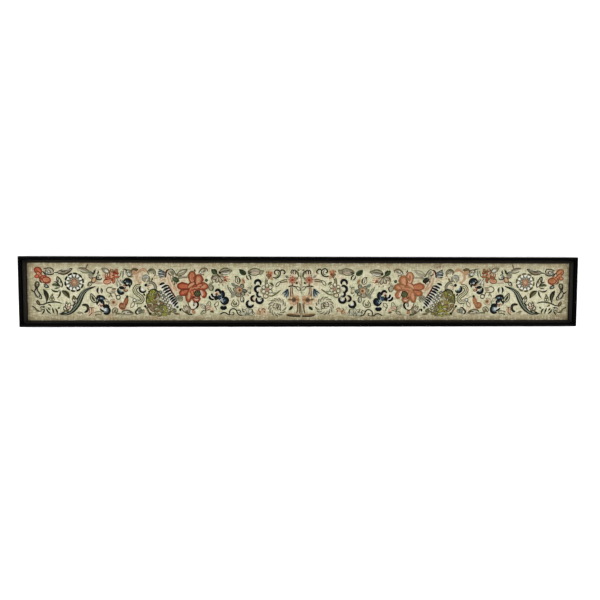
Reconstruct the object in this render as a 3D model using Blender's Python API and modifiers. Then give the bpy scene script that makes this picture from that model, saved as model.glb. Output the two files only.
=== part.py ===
"""A framed silk embroidery: two narrow silk bands, joined end to end and mounted flat in a slim black moulding.

Units are metres. The panel lies on its back: its face looks up along +Z, its long side runs along X and its
upper edge is towards +Y. The origin is at the centre of the back, on the surface that it rests on.
"""

import math

import bmesh
import bpy
from mathutils import Matrix, Vector

# Driving sizes of the whole panel.
PANEL_LENGTH = 0.970
PANEL_HEIGHT = 0.122
MOULDING_WIDTH = 0.0110
PIECE_GAP = 0.0003

# Moulding section. X runs inwards from the outer edge and Y up from the back.
BEAD_RADIUS = 0.0031
BEAD_SPRING = 0.0149
BEAD_STEPS = 12
QUIRK_END = 0.0072
QUIRK_FLOOR = 0.0134
COVE_TOP = 0.0141
COVE_END = 0.0104
COVE_FOOT = 0.0108
COVE_HOLLOW = 0.0004
COVE_STEPS = 5
SIGHT_EASE = 0.0004
LIP_UNDERSIDE = 0.0078
REBATE_WALL = 0.0060
BACK_EASE = 0.0005
CORNER_RADIUS = 0.0025
CORNER_STEPS = 5

# Silk bands.
SILK_THICKNESS = 0.0012
SILK_TOP = LIP_UNDERSIDE - PIECE_GAP
SILK_SIDE_PLAY = 0.0005
COCKLE_RISE = 0.0004
COCKLE_LENGTH = 0.083
COCKLE_WIDTH = 0.061
COCKLE_FADE = 0.012
TURNED_EDGE_WIDTH = 0.0030
TURNED_EDGE_RISE = 0.0006
BAND_COLUMNS = 44
BAND_ROWS = 12
COLUMN_CROWDING = 1.7

# Board behind the silk.
BOARD_THICKNESS = 0.0030
BOARD_EASE = 0.0004

SILK_REACH = REBATE_WALL + SILK_SIDE_PLAY
SILK_LENGTH = PANEL_LENGTH - 2 * SILK_REACH
SILK_HEIGHT = PANEL_HEIGHT - 2 * SILK_REACH
BAND_LENGTH = SILK_LENGTH / 2 - PIECE_GAP / 2
BOARD_TOP = SILK_TOP - SILK_THICKNESS - PIECE_GAP

LACQUER_BLACK = (0.012, 0.011, 0.010, 1.0)
SILK_CREAM = (0.52, 0.48, 0.33, 1.0)
BOARD_BROWN = (0.24, 0.17, 0.10, 1.0)


def clear_scene():
    for obj in list(bpy.data.objects):
        bpy.data.objects.remove(obj, do_unlink=True)


def new_collection(name):
    collection = bpy.data.collections.new(name)
    bpy.context.scene.collection.children.link(collection)
    return collection


def finish_material(name, colour, roughness):
    material = bpy.data.materials.new(name)
    material.use_nodes = True
    shader = material.node_tree.nodes["Principled BSDF"]
    shader.inputs["Base Color"].default_value = colour
    shader.inputs["Roughness"].default_value = roughness
    shader.inputs["Metallic"].default_value = 0.0
    return material


def outline_to_solid(name, outline, half_thickness):
    """A flat outline as a filled 2D curve, thickened both ways along its own Z, then made a welded mesh."""
    curve = bpy.data.curves.new(name, "CURVE")
    curve.dimensions = "2D"
    curve.fill_mode = "BOTH"
    curve.extrude = half_thickness
    spline = curve.splines.new("POLY")
    spline.points.add(len(outline) - 1)
    for point, (x, y) in zip(spline.points, outline):
        point.co = (x, y, 0.0, 1.0)
    spline.use_cyclic_u = True
    holder = bpy.data.objects.new(name + "_outline", curve)
    bpy.context.scene.collection.objects.link(holder)
    graph = bpy.context.evaluated_depsgraph_get()
    mesh = bpy.data.meshes.new_from_object(holder.evaluated_get(graph))
    bpy.data.objects.remove(holder, do_unlink=True)
    shape = bmesh.new()
    shape.from_mesh(mesh)
    bmesh.ops.remove_doubles(shape, verts=shape.verts, dist=1e-6)
    shape.to_mesh(mesh)
    shape.free()
    mesh.name = name
    return mesh


def moulding_section():
    """The moulding's section: an outer half-round bead, a narrow quirk, and a cove down to the sight edge."""
    section = [
        (BACK_EASE, 0.0),
        (REBATE_WALL, 0.0),
        (REBATE_WALL, LIP_UNDERSIDE),
        (MOULDING_WIDTH, LIP_UNDERSIDE),
        (MOULDING_WIDTH, COVE_FOOT - SIGHT_EASE),
    ]
    cove_width = COVE_END - QUIRK_END
    for step in range(COVE_STEPS + 1):
        share = step / COVE_STEPS
        sag = COVE_HOLLOW * math.sin(math.pi * share)
        height = COVE_FOOT + share * (COVE_TOP - COVE_FOOT) - sag
        section.append((COVE_END - share * cove_width, height))
    section.append((QUIRK_END, QUIRK_FLOOR))
    section.append((2 * BEAD_RADIUS, QUIRK_FLOOR))
    for step in range(BEAD_STEPS + 1):
        angle = math.pi * step / BEAD_STEPS
        reach = BEAD_RADIUS * (1 + math.cos(angle))
        section.append((reach, BEAD_SPRING + BEAD_RADIUS * math.sin(angle)))
    section.append((0.0, BACK_EASE))
    return section


def mitre_end(shape, corner, outwards):
    """Cuts the rail at 45 degrees through its outer corner, half a gap short of it, and closes the cut."""
    normal = Vector((outwards, -1.0, 0.0)).normalized()
    cut = bmesh.ops.bisect_plane(
        shape,
        geom=shape.verts[:] + shape.edges[:] + shape.faces[:],
        plane_co=corner - normal * PIECE_GAP / 2,
        plane_no=normal,
        clear_outer=True,
    )
    rim = [item for item in cut["geom_cut"] if isinstance(item, bmesh.types.BMEdge)]
    bmesh.ops.contextual_create(shape, geom=rim)


def rounded_rectangle(length, height, radius):
    """Anticlockwise outline of a rectangle with round corners, centred on the origin."""
    outline = []
    for quarter in range(4):
        sign_x = 1 if quarter in (0, 3) else -1
        sign_y = 1 if quarter in (0, 1) else -1
        centre_x = sign_x * (length / 2 - radius)
        centre_y = sign_y * (height / 2 - radius)
        for step in range(CORNER_STEPS + 1):
            angle = math.pi / 2 * (quarter + step / CORNER_STEPS)
            outline.append((centre_x + radius * math.cos(angle), centre_y + radius * math.sin(angle)))
    return outline


def corner_blank(cutters):
    """The frame's outline with its worn round corners, as a block that the mitred rails are trimmed to."""
    outline = rounded_rectangle(PANEL_LENGTH, PANEL_HEIGHT, CORNER_RADIUS)
    blank_height = 2 * (BEAD_SPRING + BEAD_RADIUS)
    blank = bpy.data.objects.new("corner_blank", outline_to_solid("corner_blank", outline, blank_height))
    blank.hide_render = True
    blank.display_type = "WIRE"
    cutters.objects.link(blank)
    return blank


def frame_rail(name, length, offset, turn, blank, material, parts):
    """One mitred length of moulding. Its own X is its length, and its own +Y points out of the frame."""
    mesh = outline_to_solid(name, moulding_section(), length / 2)
    # The section stands in the curve's XY plane: inwards becomes -Y, up becomes +Z and its depth runs along X.
    lay_down = Matrix(((0, 0, -1, 0), (-1, 0, 0, 0), (0, 1, 0, 0), (0, 0, 0, 1)))
    mesh.transform(lay_down)
    shape = bmesh.new()
    shape.from_mesh(mesh)
    for outwards in (1.0, -1.0):
        mitre_end(shape, Vector((outwards * length / 2, 0.0, 0.0)), outwards)
    bmesh.ops.recalc_face_normals(shape, faces=shape.faces)
    shape.to_mesh(mesh)
    shape.free()
    mesh.shade_smooth()
    mesh.set_sharp_from_angle(angle=math.radians(35))
    mesh.materials.append(material)
    rail = bpy.data.objects.new(name, mesh)
    rail.rotation_euler = (0.0, 0.0, turn)
    rail.location = Matrix.Rotation(turn, 3, "Z") @ Vector((0.0, offset, 0.0))
    trim = rail.modifiers.new("round corners", "BOOLEAN")
    trim.operation = "INTERSECT"
    trim.object = blank
    parts.objects.link(rail)
    return rail


def build_frame(blank, material, parts):
    half_length = PANEL_LENGTH / 2
    half_height = PANEL_HEIGHT / 2
    frame_rail("frame_top_rail", PANEL_LENGTH, half_height, 0.0, blank, material, parts)
    frame_rail("frame_bottom_rail", PANEL_LENGTH, half_height, math.pi, blank, material, parts)
    frame_rail("frame_left_stile", PANEL_HEIGHT, half_length, math.pi / 2, blank, material, parts)
    frame_rail("frame_right_stile", PANEL_HEIGHT, half_length, -math.pi / 2, blank, material, parts)


def silk_rise(x, y):
    """How far the mounted silk stands above its flat level: faint cockles, and the turned edge at the join."""
    to_side = SILK_HEIGHT / 2 - abs(y)
    to_end = SILK_LENGTH / 2 - abs(x)
    from_join = abs(x) - PIECE_GAP / 2
    fade = min(1.0, max(0.0, min(to_side, to_end) - MOULDING_WIDTH + SILK_REACH) / COCKLE_FADE)
    wave = math.sin(math.tau * x / COCKLE_LENGTH + 2.2 * math.sin(math.tau * y / COCKLE_WIDTH))
    rise = COCKLE_RISE * fade * 0.5 * (1 + wave)
    if from_join < TURNED_EDGE_WIDTH and fade > 0:
        across = from_join / TURNED_EDGE_WIDTH
        rise += TURNED_EDGE_RISE * fade * math.sin(math.pi * min(1.0, 0.25 + 0.75 * across))
    return rise


def silk_band(name, side, material, parts):
    """One silk band. Side is -1 for the left band and 1 for the right, and its columns crowd towards the join."""
    shape = bmesh.new()
    bmesh.ops.create_grid(shape, x_segments=BAND_COLUMNS, y_segments=BAND_ROWS, size=0.5)
    for vertex in shape.verts:
        from_join = (side * vertex.co.x + 0.5) ** COLUMN_CROWDING * BAND_LENGTH
        x = side * (PIECE_GAP / 2 + from_join)
        y = vertex.co.y * SILK_HEIGHT
        vertex.co = (x, y, silk_rise(x, y))
    mesh = bpy.data.meshes.new(name)
    shape.to_mesh(mesh)
    shape.free()
    mesh.shade_smooth()
    mesh.materials.append(material)
    band = bpy.data.objects.new(name, mesh)
    band.location = (0.0, 0.0, SILK_TOP)
    cloth = band.modifiers.new("cloth thickness", "SOLIDIFY")
    cloth.thickness = SILK_THICKNESS
    cloth.offset = -1.0
    parts.objects.link(band)
    return band


def backing_board(material, parts):
    shape = bmesh.new()
    bmesh.ops.create_cube(shape, size=1.0)
    bmesh.ops.scale(shape, vec=(SILK_LENGTH, SILK_HEIGHT, BOARD_THICKNESS), verts=shape.verts)
    mesh = bpy.data.meshes.new("backing_board")
    shape.to_mesh(mesh)
    shape.free()
    mesh.materials.append(material)
    board = bpy.data.objects.new("backing_board", mesh)
    board.location = (0.0, 0.0, BOARD_TOP - BOARD_THICKNESS / 2)
    eased = board.modifiers.new("eased edges", "BEVEL")
    eased.width = BOARD_EASE
    eased.segments = 1
    parts.objects.link(board)
    return board


def main():
    clear_scene()
    parts = new_collection("Framed silk embroidery")
    cutters = new_collection("Cutters")
    lacquer = finish_material("black lacquer", LACQUER_BLACK, 0.38)
    silk = finish_material("cream silk", SILK_CREAM, 0.70)
    board = finish_material("brown board", BOARD_BROWN, 0.85)
    blank = corner_blank(cutters)
    build_frame(blank, lacquer, parts)
    silk_band("silk_band_left", -1, silk, parts)
    silk_band("silk_band_right", 1, silk, parts)
    backing_board(board, parts)


main()
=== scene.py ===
# %% [markdown]
# # A framed silk embroidery
# The object is a pair of narrow embroidered silk bands, joined end to end, mounted flat on a board and held
# in a slim black moulding. It lies on its back, so its picture side looks up along +Z, its long side runs
# along X and its upper edge is towards +Y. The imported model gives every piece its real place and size. This
# lesson dresses it: finer mouldings, real cloth, and every petal and outline as laid silk thread.

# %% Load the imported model
import math
import random

import bmesh
import bpy
import numpy as np
from mathutils import Matrix, Vector


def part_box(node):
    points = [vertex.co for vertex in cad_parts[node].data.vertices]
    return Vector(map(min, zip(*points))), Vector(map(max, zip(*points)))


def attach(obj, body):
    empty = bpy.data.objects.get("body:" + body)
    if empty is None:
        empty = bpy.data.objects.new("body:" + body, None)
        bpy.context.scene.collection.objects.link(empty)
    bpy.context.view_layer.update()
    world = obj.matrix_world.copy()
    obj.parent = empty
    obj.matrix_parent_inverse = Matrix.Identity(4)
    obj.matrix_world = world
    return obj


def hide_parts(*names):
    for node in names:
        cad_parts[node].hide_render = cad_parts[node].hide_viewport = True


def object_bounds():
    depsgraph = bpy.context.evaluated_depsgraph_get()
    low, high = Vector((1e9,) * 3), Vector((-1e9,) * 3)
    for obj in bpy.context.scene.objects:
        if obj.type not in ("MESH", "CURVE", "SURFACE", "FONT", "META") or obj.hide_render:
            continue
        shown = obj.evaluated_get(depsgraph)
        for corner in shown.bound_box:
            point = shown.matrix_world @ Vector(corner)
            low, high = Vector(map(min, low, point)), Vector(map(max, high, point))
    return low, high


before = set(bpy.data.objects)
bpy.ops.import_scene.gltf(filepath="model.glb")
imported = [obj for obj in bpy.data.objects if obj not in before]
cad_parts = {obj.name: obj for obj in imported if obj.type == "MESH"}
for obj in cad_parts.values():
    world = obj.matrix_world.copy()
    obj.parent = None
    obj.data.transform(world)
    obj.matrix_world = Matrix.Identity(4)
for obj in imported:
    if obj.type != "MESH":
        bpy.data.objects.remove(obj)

MM = 0.001
cad_low, cad_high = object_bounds()
print("the panel measures", [round(v / MM, 1) for v in cad_high - cad_low], "mm")

# %% [markdown]
# ## The camera
# The photograph looks almost straight down on the face, from a little above the upper edge and a little to
# the left, which makes the left end and the upper edge slightly larger. A camera is set by where it looks,
# how far away it is and how it leans. Building its matrix from three directions keeps all of that in
# plain numbers, and is steadier than turning it by hand.

# %% Place the camera
CAMERA_DISTANCE = 0.83
CAMERA_YAW = math.radians(1.50)
CAMERA_PITCH = math.radians(2.81)
CAMERA_ROLL = math.radians(0.068)
CAMERA_TARGET = Vector((-0.0035, -0.0142, 0.0149))
CAMERA_LENS = 28.65
CAMERA_SENSOR = 36
CAMERA_NEAREST = 10 * MM


def place_camera():
    back = Vector((
        -math.sin(CAMERA_YAW),
        math.sin(CAMERA_PITCH) * math.cos(CAMERA_YAW),
        math.cos(CAMERA_PITCH) * math.cos(CAMERA_YAW),
    )).normalized()
    right = Vector((0, 1, 0)).cross(back).normalized()
    up = back.cross(right)
    level = Matrix((right, up, back)).transposed()
    turned = level @ Matrix.Rotation(CAMERA_ROLL, 3, "Z")
    bpy.ops.object.camera_add()
    camera = bpy.context.object
    camera.data.lens = CAMERA_LENS
    camera.data.sensor_width = CAMERA_SENSOR
    camera.data.clip_start = CAMERA_NEAREST
    camera.matrix_world = Matrix.Translation(CAMERA_TARGET + back * CAMERA_DISTANCE) @ turned.to_4x4()
    bpy.context.scene.camera = camera
    return camera


camera = place_camera()
print("camera at", [round(v, 3) for v in camera.location])

# %% [markdown]
# ## Light
# A flat picture is photographed with light from the sides, so that nothing bright is mirrored by the glossy
# frame: the lamps stand low and wide, and the sky over the camera stays dim. The plain view transform
# keeps the dyes as they are mixed.

# %% Light the panel
LAMP_REACH = 1.9
LAMP_HEIGHT = 1.35
LAMP_SIZE = 1.1
SIDE_LAMP_WATTS = 29.0
END_LAMP_WATTS = 23.4
SKY_GREY = 0.06


def lamp(name, place, watts):
    light = bpy.data.lights.new(name, "AREA")
    light.shape = "SQUARE"
    light.size = LAMP_SIZE
    light.energy = watts
    holder = bpy.data.objects.new(name, light)
    holder.location = place
    holder.rotation_euler = Vector(place).to_track_quat("Z", "Y").to_euler()
    bpy.context.scene.collection.objects.link(holder)
    return holder


def light_scene():
    lamp("lamp_left", (-LAMP_REACH, 0, LAMP_HEIGHT), SIDE_LAMP_WATTS)
    lamp("lamp_right", (LAMP_REACH, 0, LAMP_HEIGHT), SIDE_LAMP_WATTS)
    lamp("lamp_upper", (0, LAMP_REACH, LAMP_HEIGHT), END_LAMP_WATTS)
    lamp("lamp_lower", (0, -LAMP_REACH, LAMP_HEIGHT), END_LAMP_WATTS)
    world = bpy.data.worlds.new("soft sky")
    world.use_nodes = True
    sky = world.node_tree.nodes["Background"]
    sky.inputs["Color"].default_value = (1, 1, 1, 1)
    sky.inputs["Strength"].default_value = SKY_GREY
    bpy.context.scene.world = world
    bpy.context.scene.view_settings.view_transform = "Standard"


light_scene()

# %% [markdown]
# ## Small helpers for nodes
# A material is a chain of nodes. A few helpers keep the chains short to read: one adds a node and fills or
# joins its sockets by name, and the others do a sum, blend two colours, stretch a range, make noise and
# make a face look uneven. Colours are written as they look on a screen, from 0 to 255, and are turned into
# the linear values that the shader wants.

# %% Node helpers


def linear(colour):
    """A screen colour, 0 to 255, as linear light."""
    def channel(value):
        share = value / 255
        return share / 12.92 if share <= 0.04045 else ((share + 0.055) / 1.055) ** 2.4
    return (*(channel(v) for v in colour), 1.0)


def fill(tree, socket, value):
    if isinstance(value, bpy.types.NodeSocket):
        tree.links.new(value, socket)
    elif value is not None:
        socket.default_value = value


def add(tree, kind, settings=None, **inputs):
    """Adds a shader node; settings are its own options and the rest are its sockets, by name."""
    made = tree.nodes.new("ShaderNode" + kind)
    for key, value in (settings or {}).items():
        setattr(made, key, value)
    for key, value in inputs.items():
        fill(tree, made.inputs[key.replace("_", " ")], value)
    return made


def sum_of(tree, operation, first, second=None):
    """A Math node's result."""
    made = tree.nodes.new("ShaderNodeMath")
    made.operation = operation
    for socket, value in zip(made.inputs, (first, second)):
        fill(tree, socket, value)
    return made.outputs["Value"]


def blended(tree, share, first, second):
    """The colour between two colours."""
    made = tree.nodes.new("ShaderNodeMix")
    made.data_type = "RGBA"
    for socket, value in zip((made.inputs[0], made.inputs[6], made.inputs[7]), (share, first, second)):
        fill(tree, socket, value)
    return made.outputs[2]


def spread(tree, value, low, high, to_low=0.0, to_high=1.0):
    """Stretches a value from one range to another, and stops at its ends."""
    return add(
        tree, "MapRange", Value=value, From_Min=low, From_Max=high, To_Min=to_low, To_Max=to_high
    ).outputs["Result"]


def blank_material(name):
    material = bpy.data.materials.new(name)
    material.use_nodes = True
    return material, material.node_tree, material.node_tree.nodes["Principled BSDF"]


def in_place(tree):
    """Object coordinates: every piece sits at the origin, so these are places on the real object."""
    return tree.nodes.new("ShaderNodeTexCoord").outputs["Object"]


def noise(tree, place, scale, detail, roughness=0.5, output="Fac"):
    """Soft noise: a larger scale makes it finer, more detail and roughness make it more broken."""
    made = add(tree, "TexNoise", Vector=place, Scale=scale, Detail=detail, Roughness=roughness)
    return made.outputs[output]


def raise_face(tree, shader, height, strength, distance):
    """Lets light fall on a finish as if its face rose and fell with this height."""
    bump = add(tree, "Bump", Strength=strength, Distance=distance, Height=height)
    fill(tree, shader.inputs["Normal"], bump.outputs["Normal"])


print("helpers ready")

# %% [markdown]
# ## Paper to stand on
# The panel lies on pale paper, and a round wall of the same paper stands far off, so that a view from low
# down also ends in a pale ground. The paper glows a little, as paper does that is lit evenly all over.
# Neither is attached to the panel: they are in the picture, but they aren't part of the object.

# %% Make the floor and the backdrop
PAPER_COLOUR = (0.85, 0.85, 0.85, 1)
FLOOR_SIZE = 9.0
FLOOR_DROP = 0.05 * MM
FLOOR_GLOW = 0.32
BACKDROP_RADIUS = 4.4
BACKDROP_HEIGHT = 3.0
BACKDROP_SIDES = 96
BACKDROP_GLOW = 0.4


def pale_paper(name, glow):
    material, tree, shader = blank_material(name)
    shader.inputs["Base Color"].default_value = PAPER_COLOUR
    shader.inputs["Roughness"].default_value = 0.95
    shader.inputs["Emission Color"].default_value = (1, 1, 1, 1)
    shader.inputs["Emission Strength"].default_value = glow
    shader.inputs["Specular IOR Level"].default_value = 0.0
    return material


def stage(piece, name, glow):
    piece.name = name
    piece.data.transform(Matrix.Translation((0, 0, -FLOOR_DROP)))
    piece.data.materials.append(pale_paper(name + " paper", glow))
    return piece


def make_floor():
    bpy.ops.mesh.primitive_plane_add(size=FLOOR_SIZE, location=(0, 0, 0))
    return stage(bpy.context.object, "studio_floor", FLOOR_GLOW)


def make_backdrop():
    bpy.ops.mesh.primitive_cylinder_add(
        vertices=BACKDROP_SIDES, radius=BACKDROP_RADIUS, depth=BACKDROP_HEIGHT,
        end_fill_type="NOTHING",
    )
    wall = bpy.context.object
    wall.data.transform(Matrix.Translation((0, 0, BACKDROP_HEIGHT / 2)))
    return stage(wall, "studio_backdrop", BACKDROP_GLOW)


floor = make_floor()
backdrop = make_backdrop()
print("staged", floor.name, "and", backdrop.name)

# %% [markdown]
# ## Black lacquer
# The frame is softwood under many thin coats of black, rubbed to a satin shine. Up close it shows a fine
# grain, uneven gloss and worn patches. The sloping inner face gets a lighter, warmer black of its own, which
# is partly painted highlight, for the light it catches there, and partly rubbed wear with dust in it.

# %% Mix the lacquers
LACQUER_BLACK = (3, 3, 3)
# The lighter blacks below are wear and dust; on the sloping inner face they are also painted highlight.
LACQUER_WEAR_AND_SHEEN = (22, 20, 16)
LACQUER_DUST_AND_SHEEN = (40, 36, 27)


def lacquer(name, deep, worn, gloss, wear, shine):
    material, tree, shader = blank_material(name)
    place = in_place(tree)
    grain = noise(tree, place, 900.0, 3.0, 0.6)
    patches = noise(tree, place, 55.0, 5.0, 0.65)
    rubbed = spread(tree, patches, 0.52, 0.78, 0.0, wear)
    colour = blended(tree, rubbed, linear(deep), linear(worn))
    fill(tree, shader.inputs["Base Color"], colour)
    fill(tree, shader.inputs["Roughness"], spread(tree, patches, 0.3, 0.75, gloss, gloss + 0.22))
    raise_face(tree, shader, grain, 0.25, 0.05 * MM)
    shader.inputs["Specular IOR Level"].default_value = shine
    return material


black_lacquer = lacquer("black lacquer", LACQUER_BLACK, LACQUER_WEAR_AND_SHEEN, 0.26, 0.22, 0.012)
# The slope's finish is a lighter copy of the lacquer: painted highlight where the slope faces the lamps, with
# wear and dust.
slope_lacquer_wear_and_sheen = lacquer("black slope wear and painted sheen", LACQUER_WEAR_AND_SHEEN, LACQUER_DUST_AND_SHEEN, 0.32, 0.55, 0.06)
print("lacquers", black_lacquer.name, "and", slope_lacquer_wear_and_sheen.name)

# %% [markdown]
# ## The moulding
# A framer buys moulding in long lengths of one section: here an outer half-round bead, a narrow groove and
# a hollow slope down to the sight edge, with a rebate cut behind for the picture. Drawing the section with
# a single point that is extruded step by step, and spun round for the bead, is what a moulding plane does.
# The section is then pulled to length, and both ends are sliced at 45 degrees for the mitres. A slice leaves
# its points in no fixed order, so they are put in order, and the lesson gives the same mesh each time.

# %% Tools for working in edit mode


def only(piece):
    """Selects one object alone, so that the next operators act on nothing else."""
    bpy.ops.object.select_all(action="DESELECT")
    piece.select_set(True)
    bpy.context.view_layer.objects.active = piece


def edit(piece):
    only(piece)
    bpy.ops.object.mode_set(mode="EDIT")


def pick(piece, kind, test):
    """In edit mode, selects the verts, edges or faces whose middle passes the test, and nothing else."""
    bpy.ops.mesh.select_mode(type={"verts": "VERT", "edges": "EDGE", "faces": "FACE"}[kind])
    bpy.ops.mesh.select_all(action="DESELECT")
    shape = bmesh.from_edit_mesh(piece.data)
    for item in getattr(shape, kind):
        if kind == "verts":
            middle = item.co
        elif kind == "edges":
            middle = (item.verts[0].co + item.verts[1].co) / 2
        else:
            middle = item.calc_center_median()
        item.select_set(bool(test(middle, item)))
    shape.select_flush_mode()
    bmesh.update_edit_mesh(piece.data)


def done(piece):
    bpy.ops.object.mode_set(mode="OBJECT")
    only(piece)
    bpy.ops.object.transform_apply(location=True, rotation=True, scale=True)
    return piece


def hand_over(piece, name, slot, *nodes):
    """Names a finished piece and says what it belongs to."""
    piece.name = name
    piece.data.name = name
    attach(piece, "root")
    if nodes:
        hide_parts(*nodes)
    return piece


print("edit tools ready")

# %% Draw the section and pull the lengths
HALF_LENGTH = cad_high.x
HALF_HEIGHT = cad_high.y
MOULDING_WIDTH = 11.0 * MM
BEAD_RADIUS = 3.1 * MM
BEAD_SPRING = 14.9 * MM
QUIRK_END = 7.2 * MM
QUIRK_FLOOR = 13.4 * MM
COVE_TOP = 14.1 * MM
COVE_END = 10.4 * MM
COVE_FOOT = 10.8 * MM
COVE_HOLLOW = 0.5 * MM
COVE_STEPS = 8
BEAD_STEPS = 20
SIGHT_EASE = 0.4 * MM
LIP_UNDERSIDE = 7.8 * MM
REBATE_WALL = 6.0 * MM
MITRE_GAP = 0.04 * MM
CORNER_RADIUS = 2.5 * MM
CORNER_STEPS = 8
ARRIS_WIDTH = 0.16 * MM
ARRIS_STEPS = 2
ARRIS_ANGLE = math.radians(28)
SMOOTH_ANGLE = math.radians(30)


def pen_point(inwards, height):
    """A single vertex to draw with. The outline is drawn across Y, from the outer edge inwards."""
    bpy.ops.mesh.primitive_plane_add(size=MM, location=(0, 0, 0))
    piece = bpy.context.object
    edit(piece)
    bpy.ops.mesh.merge(type="CENTER")
    bpy.ops.transform.translate(value=(0, HALF_HEIGHT - inwards, height))
    return piece


def stroke(inwards, upwards):
    bpy.ops.mesh.extrude_region_move(TRANSFORM_OT_translate={"value": (0, -inwards, upwards)})


def draw_section():
    piece = pen_point(2 * BEAD_RADIUS, QUIRK_FLOOR)
    stroke(0, BEAD_SPRING - QUIRK_FLOOR)
    bead_centre = (0, HALF_HEIGHT - BEAD_RADIUS, BEAD_SPRING)
    bpy.ops.mesh.spin(steps=BEAD_STEPS, angle=math.pi, center=bead_centre, axis=(1, 0, 0))
    stroke(0, -BEAD_SPRING)
    stroke(REBATE_WALL, 0)
    stroke(0, LIP_UNDERSIDE)
    stroke(MOULDING_WIDTH - REBATE_WALL, 0)
    stroke(0, COVE_FOOT - SIGHT_EASE - LIP_UNDERSIDE)
    stroke(COVE_END - MOULDING_WIDTH, SIGHT_EASE)
    before = 0.0
    for step in range(1, COVE_STEPS + 1):
        share = step / COVE_STEPS
        height = share * (COVE_TOP - COVE_FOOT) - COVE_HOLLOW * math.sin(math.pi * share)
        stroke((QUIRK_END - COVE_END) / COVE_STEPS, height - before)
        before = height
    stroke(0, QUIRK_FLOOR - COVE_TOP)
    bpy.ops.mesh.select_all(action="SELECT")
    bpy.ops.mesh.edge_face_add()
    return piece


def settled(piece):
    """Puts a cut piece's points and faces in one order, since the cuts leave them in a new one each run."""
    cut = piece.data
    places = [tuple(round(value, 6) for value in point.co) for point in cut.vertices]
    order = sorted(range(len(places)), key=places.__getitem__)
    rank = {old: new for new, old in enumerate(order)}
    faces = []
    for face in cut.polygons:
        corners = [rank[k] for k in face.vertices]
        first = corners.index(min(corners))
        faces.append(corners[first:] + corners[:first])
    piece.data = bpy.data.meshes.new(piece.name)
    piece.data.from_pydata([places[k] for k in order], [], sorted(faces))
    bpy.data.meshes.remove(cut)
    return piece


def pull_to_length(piece, length):
    bpy.ops.mesh.select_all(action="SELECT")
    bpy.ops.transform.translate(value=(-length / 2, 0, 0))
    bpy.ops.mesh.extrude_region_move(TRANSFORM_OT_translate={"value": (length, 0, 0)})
    bpy.ops.mesh.select_all(action="SELECT")
    bpy.ops.mesh.normals_make_consistent(inside=False)
    for side in (1, -1):
        across = Vector((side, -1, 0)).normalized()
        corner = Vector((side * length / 2, HALF_HEIGHT, 0)) - across * MITRE_GAP / 2
        bpy.ops.mesh.select_all(action="SELECT")
        bpy.ops.mesh.bisect(plane_co=corner, plane_no=across, use_fill=True, clear_outer=True)
    return settled(done(piece))


long_rail = pull_to_length(draw_section(), 2 * HALF_LENGTH)
long_rail.name = "frame_top_rail_shape"
short_rail = pull_to_length(draw_section(), 2 * HALF_HEIGHT)
short_rail.name = "frame_stile_shape"
print("long rail", [round(v / MM, 1) for v in long_rail.dimensions], "short", len(short_rail.data.polygons))

# %% [markdown]
# The outer corners of the real frame are worn round. A block with four rounded upright edges is made once,
# and each length keeps only what lies inside it. A tiny bevel then softens every sharp arris, as
# the lacquer does, and gives the light an edge to run along. The slope's faces get the lighter slope finish,
# which is partly painted highlight and partly wear.

# %% Trim the corners, soften the edges and set the four lengths


def corner_block():
    bpy.ops.mesh.primitive_cube_add(size=1.0, location=(0, 0, 0))
    block = bpy.context.object
    block.name = "corner_block"
    edit(block)
    bpy.ops.transform.resize(value=(2 * HALF_LENGTH, 2 * HALF_HEIGHT, 4 * BEAD_SPRING))
    pick(block, "edges", lambda at, edge: abs(edge.verts[0].co.z - edge.verts[1].co.z) > MM)
    bpy.ops.mesh.bevel(offset=CORNER_RADIUS, segments=CORNER_STEPS, affect="EDGES")
    return done(block)


def apply_modifier(piece, kind, **settings):
    """Adds one modifier with its settings and applies it at once."""
    modifier = piece.modifiers.new(kind.lower(), kind)
    for key, value in settings.items():
        setattr(modifier, key, value)
    only(piece)
    bpy.ops.object.modifier_apply(modifier=modifier.name)
    return piece


def is_slope(face):
    """True for the hollow slope's own faces: they look up and inwards from inside the groove."""
    inwards = min(HALF_HEIGHT - abs(face.center.y), HALF_LENGTH - abs(face.center.x))
    looks_up = face.normal.z > 0.3
    return looks_up and inwards > QUIRK_END and face.center.z > COVE_FOOT - 2 * SIGHT_EASE


def set_length(shape, name, turn, shift, block):
    piece = bpy.data.objects.new(name, shape.data.copy())
    bpy.context.scene.collection.objects.link(piece)
    piece.data.transform(Matrix.Translation((shift, 0, 0)) @ Matrix.Rotation(turn, 4, "Z"))
    apply_modifier(piece, "BOOLEAN", operation="INTERSECT", object=block)
    apply_modifier(
        piece, "BEVEL", width=ARRIS_WIDTH, segments=ARRIS_STEPS, limit_method="ANGLE",
        angle_limit=ARRIS_ANGLE,
    )
    bpy.ops.object.shade_smooth_by_angle(angle=SMOOTH_ANGLE)
    piece.data.materials.clear()
    piece.data.materials.append(black_lacquer)
    piece.data.materials.append(slope_lacquer_wear_and_sheen)
    # Painted highlight, with wear: the slope's faces take the lighter lacquer.
    for face in piece.data.polygons:
        face.material_index = 1 if is_slope(face) else 0
    return hand_over(piece, name + "_moulding", "frame_lacquer", name)


block = corner_block()
END_SHIFT = HALF_LENGTH - HALF_HEIGHT
rails = [
    set_length(long_rail, "frame_top_rail", 0.0, 0.0, block),
    set_length(long_rail, "frame_bottom_rail", math.pi, 0.0, block),
    set_length(short_rail, "frame_left_stile", math.pi / 2, -END_SHIFT, block),
    set_length(short_rail, "frame_right_stile", -math.pi / 2, END_SHIFT, block),
]
for used_up in (long_rail, short_rail, block):
    bpy.data.objects.remove(used_up)
print("mouldings", [(r.name, len(r.data.polygons)) for r in rails])

# %% [markdown]
# ## The board
# Behind the silk is a plain brown hardboard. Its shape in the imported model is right, so it keeps that mesh
# and only gets its finish: flecks of pressed fibre, and a dull, slightly rough face.

# %% Finish the board
BOARD_BROWN = (112, 82, 54)
BOARD_PALE = (134, 103, 70)
BOARD_FLECK = (74, 50, 32)


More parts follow.
